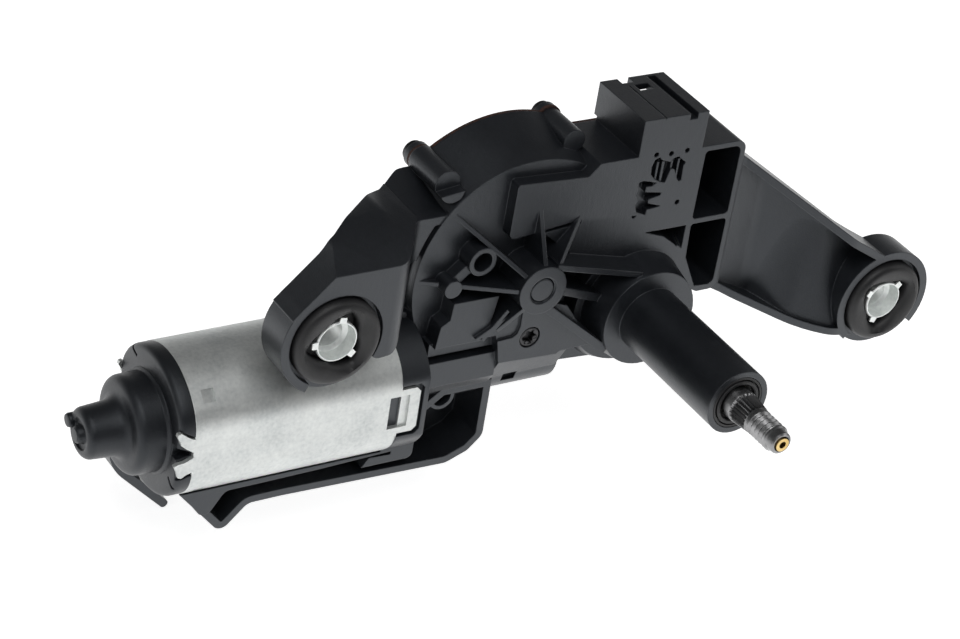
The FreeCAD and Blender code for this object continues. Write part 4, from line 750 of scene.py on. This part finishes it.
def can_claws():
    """Two bent claws on each flat at the cap's end, as outlines from the can's left edge."""
    upper = [(0.6, 4.9), (-1.6, 6.0), (-4.4, 8.2), (-5.3, 8.0), (-5.6, 7.2), (-4.6, 5.6), (-4.2, 4.2),
             (-2.4, 2.6), (0.6, 0.5)]
    lower = [(0.6, -0.5), (-2.6, -1.9), (-4.6, -2.1), (-5.8, -2.6), (-5.2, -3.6), (-4.5, -5.2), (-4.2, -6.6),
             (-3.2, -7.0), (-1.6, -6.0), (0.6, -5.5)]
    claws = []
    for outline in (upper, lower):
        placed = [(CAN_LEFT + x, MOTOR_Z + z) for x, z in outline]
        for sign in (-1, 1):
            claws.append(prism_along_y("prong", placed, *span(MOTOR_Y, sign, FLAT, FLAT - 1.3)))
    return claws


def make_can_skin():
    reach = CAN_RIGHT + TAB_REACH
    edge = double_d(ROUND - 0.25, FLAT - 0.25, 11.8)
    section = double_d(ROUND, FLAT, 12.0)
    can = loft_x("can_skin", [(CAN_LEFT, edge), (CAN_LEFT + 0.3, section), (reach, section)])
    combine(can, can_cuts(reach), "DIFFERENCE")
    combine(can, can_claws(), "UNION")
    shade(can, 30)
    coat(can, ZINC)
    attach(can, "frame")
    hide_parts("motor_can")


make_can_skin()


def arc(centre, radius, start, end, steps=8):
    """Points of an arc as (radius, x), angles in degrees from the axis' outward direction."""
    found = []
    for step in range(steps + 1):
        angle = math.radians(start + (end - start) * step / steps)
        found.append((centre[0] + radius * math.cos(angle), centre[1] + radius * math.sin(angle)))
    return found


def cap_cuts():
    """Pockets under the claws, the notch between them, and three thin slots in the flange."""
    outer, pocket_bed, notch_bed, clear = -152.4, 18.25, 15.5, 22
    pocket = [(outer, MOTOR_Z - 8.4), (outer, MOTOR_Z + 9.6), (CAN_LEFT + 0.4, MOTOR_Z + 5.8),
              (CAN_LEFT + 0.4, MOTOR_Z - 6.6)]
    notch = [(outer, MOTOR_Z - 1.6), (outer, MOTOR_Z + 3.2), (CAN_LEFT - 0.4, MOTOR_Z + 0.4),
             (CAN_LEFT - 0.4, MOTOR_Z - 0.6)]
    cut = [prism_along_y("pocket", pocket, *span(MOTOR_Y, -1, pocket_bed, clear)),
           prism_along_y("pocket", pocket, *span(MOTOR_Y, 1, pocket_bed, clear)),
           prism_along_y("notch", notch, *span(MOTOR_Y, -1, notch_bed, clear))]
    half_width = 0.45
    slots = (((35.2, 0.4), (30.8, -1.0)), ((6.3, -25.4), (3.4, -27.9)), ((38.0, -3.2), (40.0, -6.6)))
    for (y0, z0), (y1, z1) in slots:
        length = math.hypot(y1 - y0, z1 - z0)
        dy = -(z1 - z0) / length * half_width
        dz = (y1 - y0) / length * half_width
        outline = [(y0 + dy, z0 + dz), (y1 + dy, z1 + dz), (y1 - dy, z1 - dz), (y0 - dy, z0 - dz)]
        cut.append(prism_along_x("slot", outline, -153.0, -149.6))
    return cut


def dome_rings():
    """From the flange outwards: step ring, dome, hollow blend, nose, recess and centre post."""
    rings = [(15.2, -150.0), (15.2, -151.5), (14.7, -151.9), (14.4, -152.2), (14.3, -157.6)]
    rings += arc((11.6, -157.6), 2.7, -8, -82) + [(11.0, -160.45)]
    rings += arc((10.7, -163.2), 2.7, 100, 170, 7)
    rings += [(7.75, -166.0), (7.5, -169.6)] + arc((5.2, -169.7), 2.3, -8, -84)
    rings += [(4.7, -171.9), (4.4, -171.2), (3.0, -171.2), (2.6, -171.8), (2.4, -172.9), (1.9, -173.35),
              (0.4, -173.45)]
    return rings


def make_cap_skin():
    widths = ((-151.2, 20.0), (-151.0, 20.8), (-150.4, 21.4), (-149.5, 21.7), (CAN_LEFT, 21.7),
              (CAN_LEFT, 20.2), (CAN_LEFT + 2.0, 20.2))
    flange = loft_x("cap_skin", [(x, double_d(radius, radius - 2.2, radius - 9.8)) for x, radius in widths])
    dome = lathe_x("dome", (MOTOR_Y, MOTOR_Z), dome_rings())
    stub_rings = [(2.1, -166.0), (2.1, -172.3), (1.8, -172.9), (1.2, -173.1), (0.3, -173.1)]
    stub = lathe_x("stub", (MOTOR_Y + 6.1, MOTOR_Z + 0.8), stub_rings, segments=40)
    combine(flange, [dome, stub], "UNION")
    combine(flange, cap_cuts(), "DIFFERENCE")
    shade(flange, 32)
    coat(flange, CAP_BLACK)
    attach(flange, "frame")
    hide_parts("end_cap")


make_cap_skin()


# floor, lamps and surroundings; floor sizes in metres, levels of light as strengths
FLOOR_HALF, FLOOR_GAP, FLOOR_WHITE = 3.0, 0.0005, 0.84
WORLD_DARK, WORLD_GLOW, WORLD_WHITE = 0.11, 0.6, 1.0


def make_floor():
    low = cad_box[0]
    mesh = bpy.data.meshes.new("floor")
    half = FLOOR_HALF
    corners = [(-half, -half, 0), (half, -half, 0), (half, half, 0), (-half, half, 0)]
    mesh.from_pydata(corners, [], [(0, 1, 2, 3)])
    floor = bpy.data.objects.new("floor", mesh)
    floor.location = (0, 0, low[2] - FLOOR_GAP)
    bpy.context.scene.collection.objects.link(floor)
    m = Nodes("floor")
    grain = m.noise(40, 3.0, 0.5)
    pale = m.ramp(grain, [(0.0, (0.86, 0.86, 0.86)), (1.0, (0.90, 0.90, 0.90))])
    m.finish(colour=pale, roughness=0.9, specular=0.1)
    # what glossy pieces mirror: bright under and behind the part, fading out in front of it
    glow = m.add("ShaderNodeEmission")
    apart = m.add("ShaderNodeSeparateXYZ")
    m.link(m.place, apart.inputs["Vector"])
    m.link(m.spread(apart.outputs["Y"], 0.12, 1.0, -0.30, -0.17), glow.inputs["Strength"])
    # what the camera sees of it
    white = m.add("ShaderNodeEmission")
    white.inputs["Strength"].default_value = FLOOR_WHITE
    black = m.add("ShaderNodeEmission")
    black.inputs["Strength"].default_value = 0.0
    pick = m.add("ShaderNodeMixShader")
    add = m.add("ShaderNodeAddShader")
    path = m.add("ShaderNodeLightPath")
    seen = m.add("ShaderNodeMath", operation="MAXIMUM")
    m.link(path.outputs["Is Camera Ray"], seen.inputs[0])
    m.link(path.outputs["Is Transmission Ray"], seen.inputs[1])
    show = m.add("ShaderNodeMixShader")
    m.link(path.outputs["Is Glossy Ray"], pick.inputs["Fac"])
    m.link(black.outputs[0], pick.inputs[1])
    m.link(glow.outputs[0], pick.inputs[2])
    m.link(seen.outputs[0], show.inputs["Fac"])
    m.link(pick.outputs[0], show.inputs[1])
    m.link(white.outputs[0], show.inputs[2])
    m.link(m.shader.outputs[0], add.inputs[0])
    m.link(show.outputs[0], add.inputs[1])
    m.link(add.outputs[0], m.tree.nodes["Material Output"].inputs["Surface"])
    mesh.materials.append(m.material)


def add_lamp(name, place, target, size, power):
    data = bpy.data.lights.new(name, "AREA")
    data.shape = "RECTANGLE"
    data.size = size
    data.size_y = size
    data.energy = power
    lamp = bpy.data.objects.new(name, data)
    lamp.location = place
    aim = Vector(target) - Vector(place)
    lamp.rotation_euler = aim.to_track_quat("-Z", "Y").to_euler()
    bpy.context.scene.collection.objects.link(lamp)


def make_world():
    world = bpy.data.worlds.new("world")
    bpy.context.scene.world = world
    world.use_nodes = True
    tree = world.node_tree
    add, link = tree.nodes.new, tree.links.new
    background = tree.nodes["Background"]
    background.inputs["Color"].default_value = (1, 1, 1, 1)
    # a soft brightening low down behind the part, dark elsewhere
    place = add("ShaderNodeTexCoord")
    apart = add("ShaderNodeSeparateXYZ")
    link(place.outputs["Generated"], apart.inputs["Vector"])
    low = add("ShaderNodeMapRange")
    rear = add("ShaderNodeMapRange")
    for node, source, ends in ((low, "Z", (0.20, 0.42, 1.0, 0.0)), (rear, "Y", (0.1, 0.5, 0.0, 1.0))):
        for key, value in zip(("From Min", "From Max", "To Min", "To Max"), ends):
            node.inputs[key].default_value = value
        link(apart.outputs[source], node.inputs["Value"])
    both = add("ShaderNodeMath")
    both.operation = "MULTIPLY"
    link(low.outputs["Result"], both.inputs[0])
    link(rear.outputs["Result"], both.inputs[1])
    level = add("ShaderNodeMapRange")
    level.inputs["To Min"].default_value = WORLD_DARK
    level.inputs["To Max"].default_value = WORLD_GLOW
    link(both.outputs[0], level.inputs["Value"])
    link(level.outputs["Result"], background.inputs["Strength"])
    # the white that the camera sees
    bright = add("ShaderNodeBackground")
    bright.inputs["Color"].default_value = (1, 1, 1, 1)
    bright.inputs["Strength"].default_value = WORLD_WHITE
    path = add("ShaderNodeLightPath")
    seen = add("ShaderNodeMath")
    seen.operation = "MAXIMUM"
    mix = add("ShaderNodeMixShader")
    link(path.outputs["Is Camera Ray"], seen.inputs[0])
    link(path.outputs["Is Transmission Ray"], seen.inputs[1])
    link(seen.outputs[0], mix.inputs["Fac"])
    link(background.outputs[0], mix.inputs[1])
    link(bright.outputs[0], mix.inputs[2])
    link(mix.outputs[0], tree.nodes["World Output"].inputs["Surface"])


make_floor()
make_world()
add_lamp("top", (-0.3, -0.55, 1.1), (-0.03, 0, 0), 0.9, 6.0)
add_lamp("left", (-1.1, -0.5, 0.55), (-0.05, 0, 0), 0.7, 1.5)
add_lamp("right", (1.0, -0.5, 0.6), (0.0, 0, 0), 0.7, 2.0)
bpy.context.scene.view_settings.view_transform = "Standard"
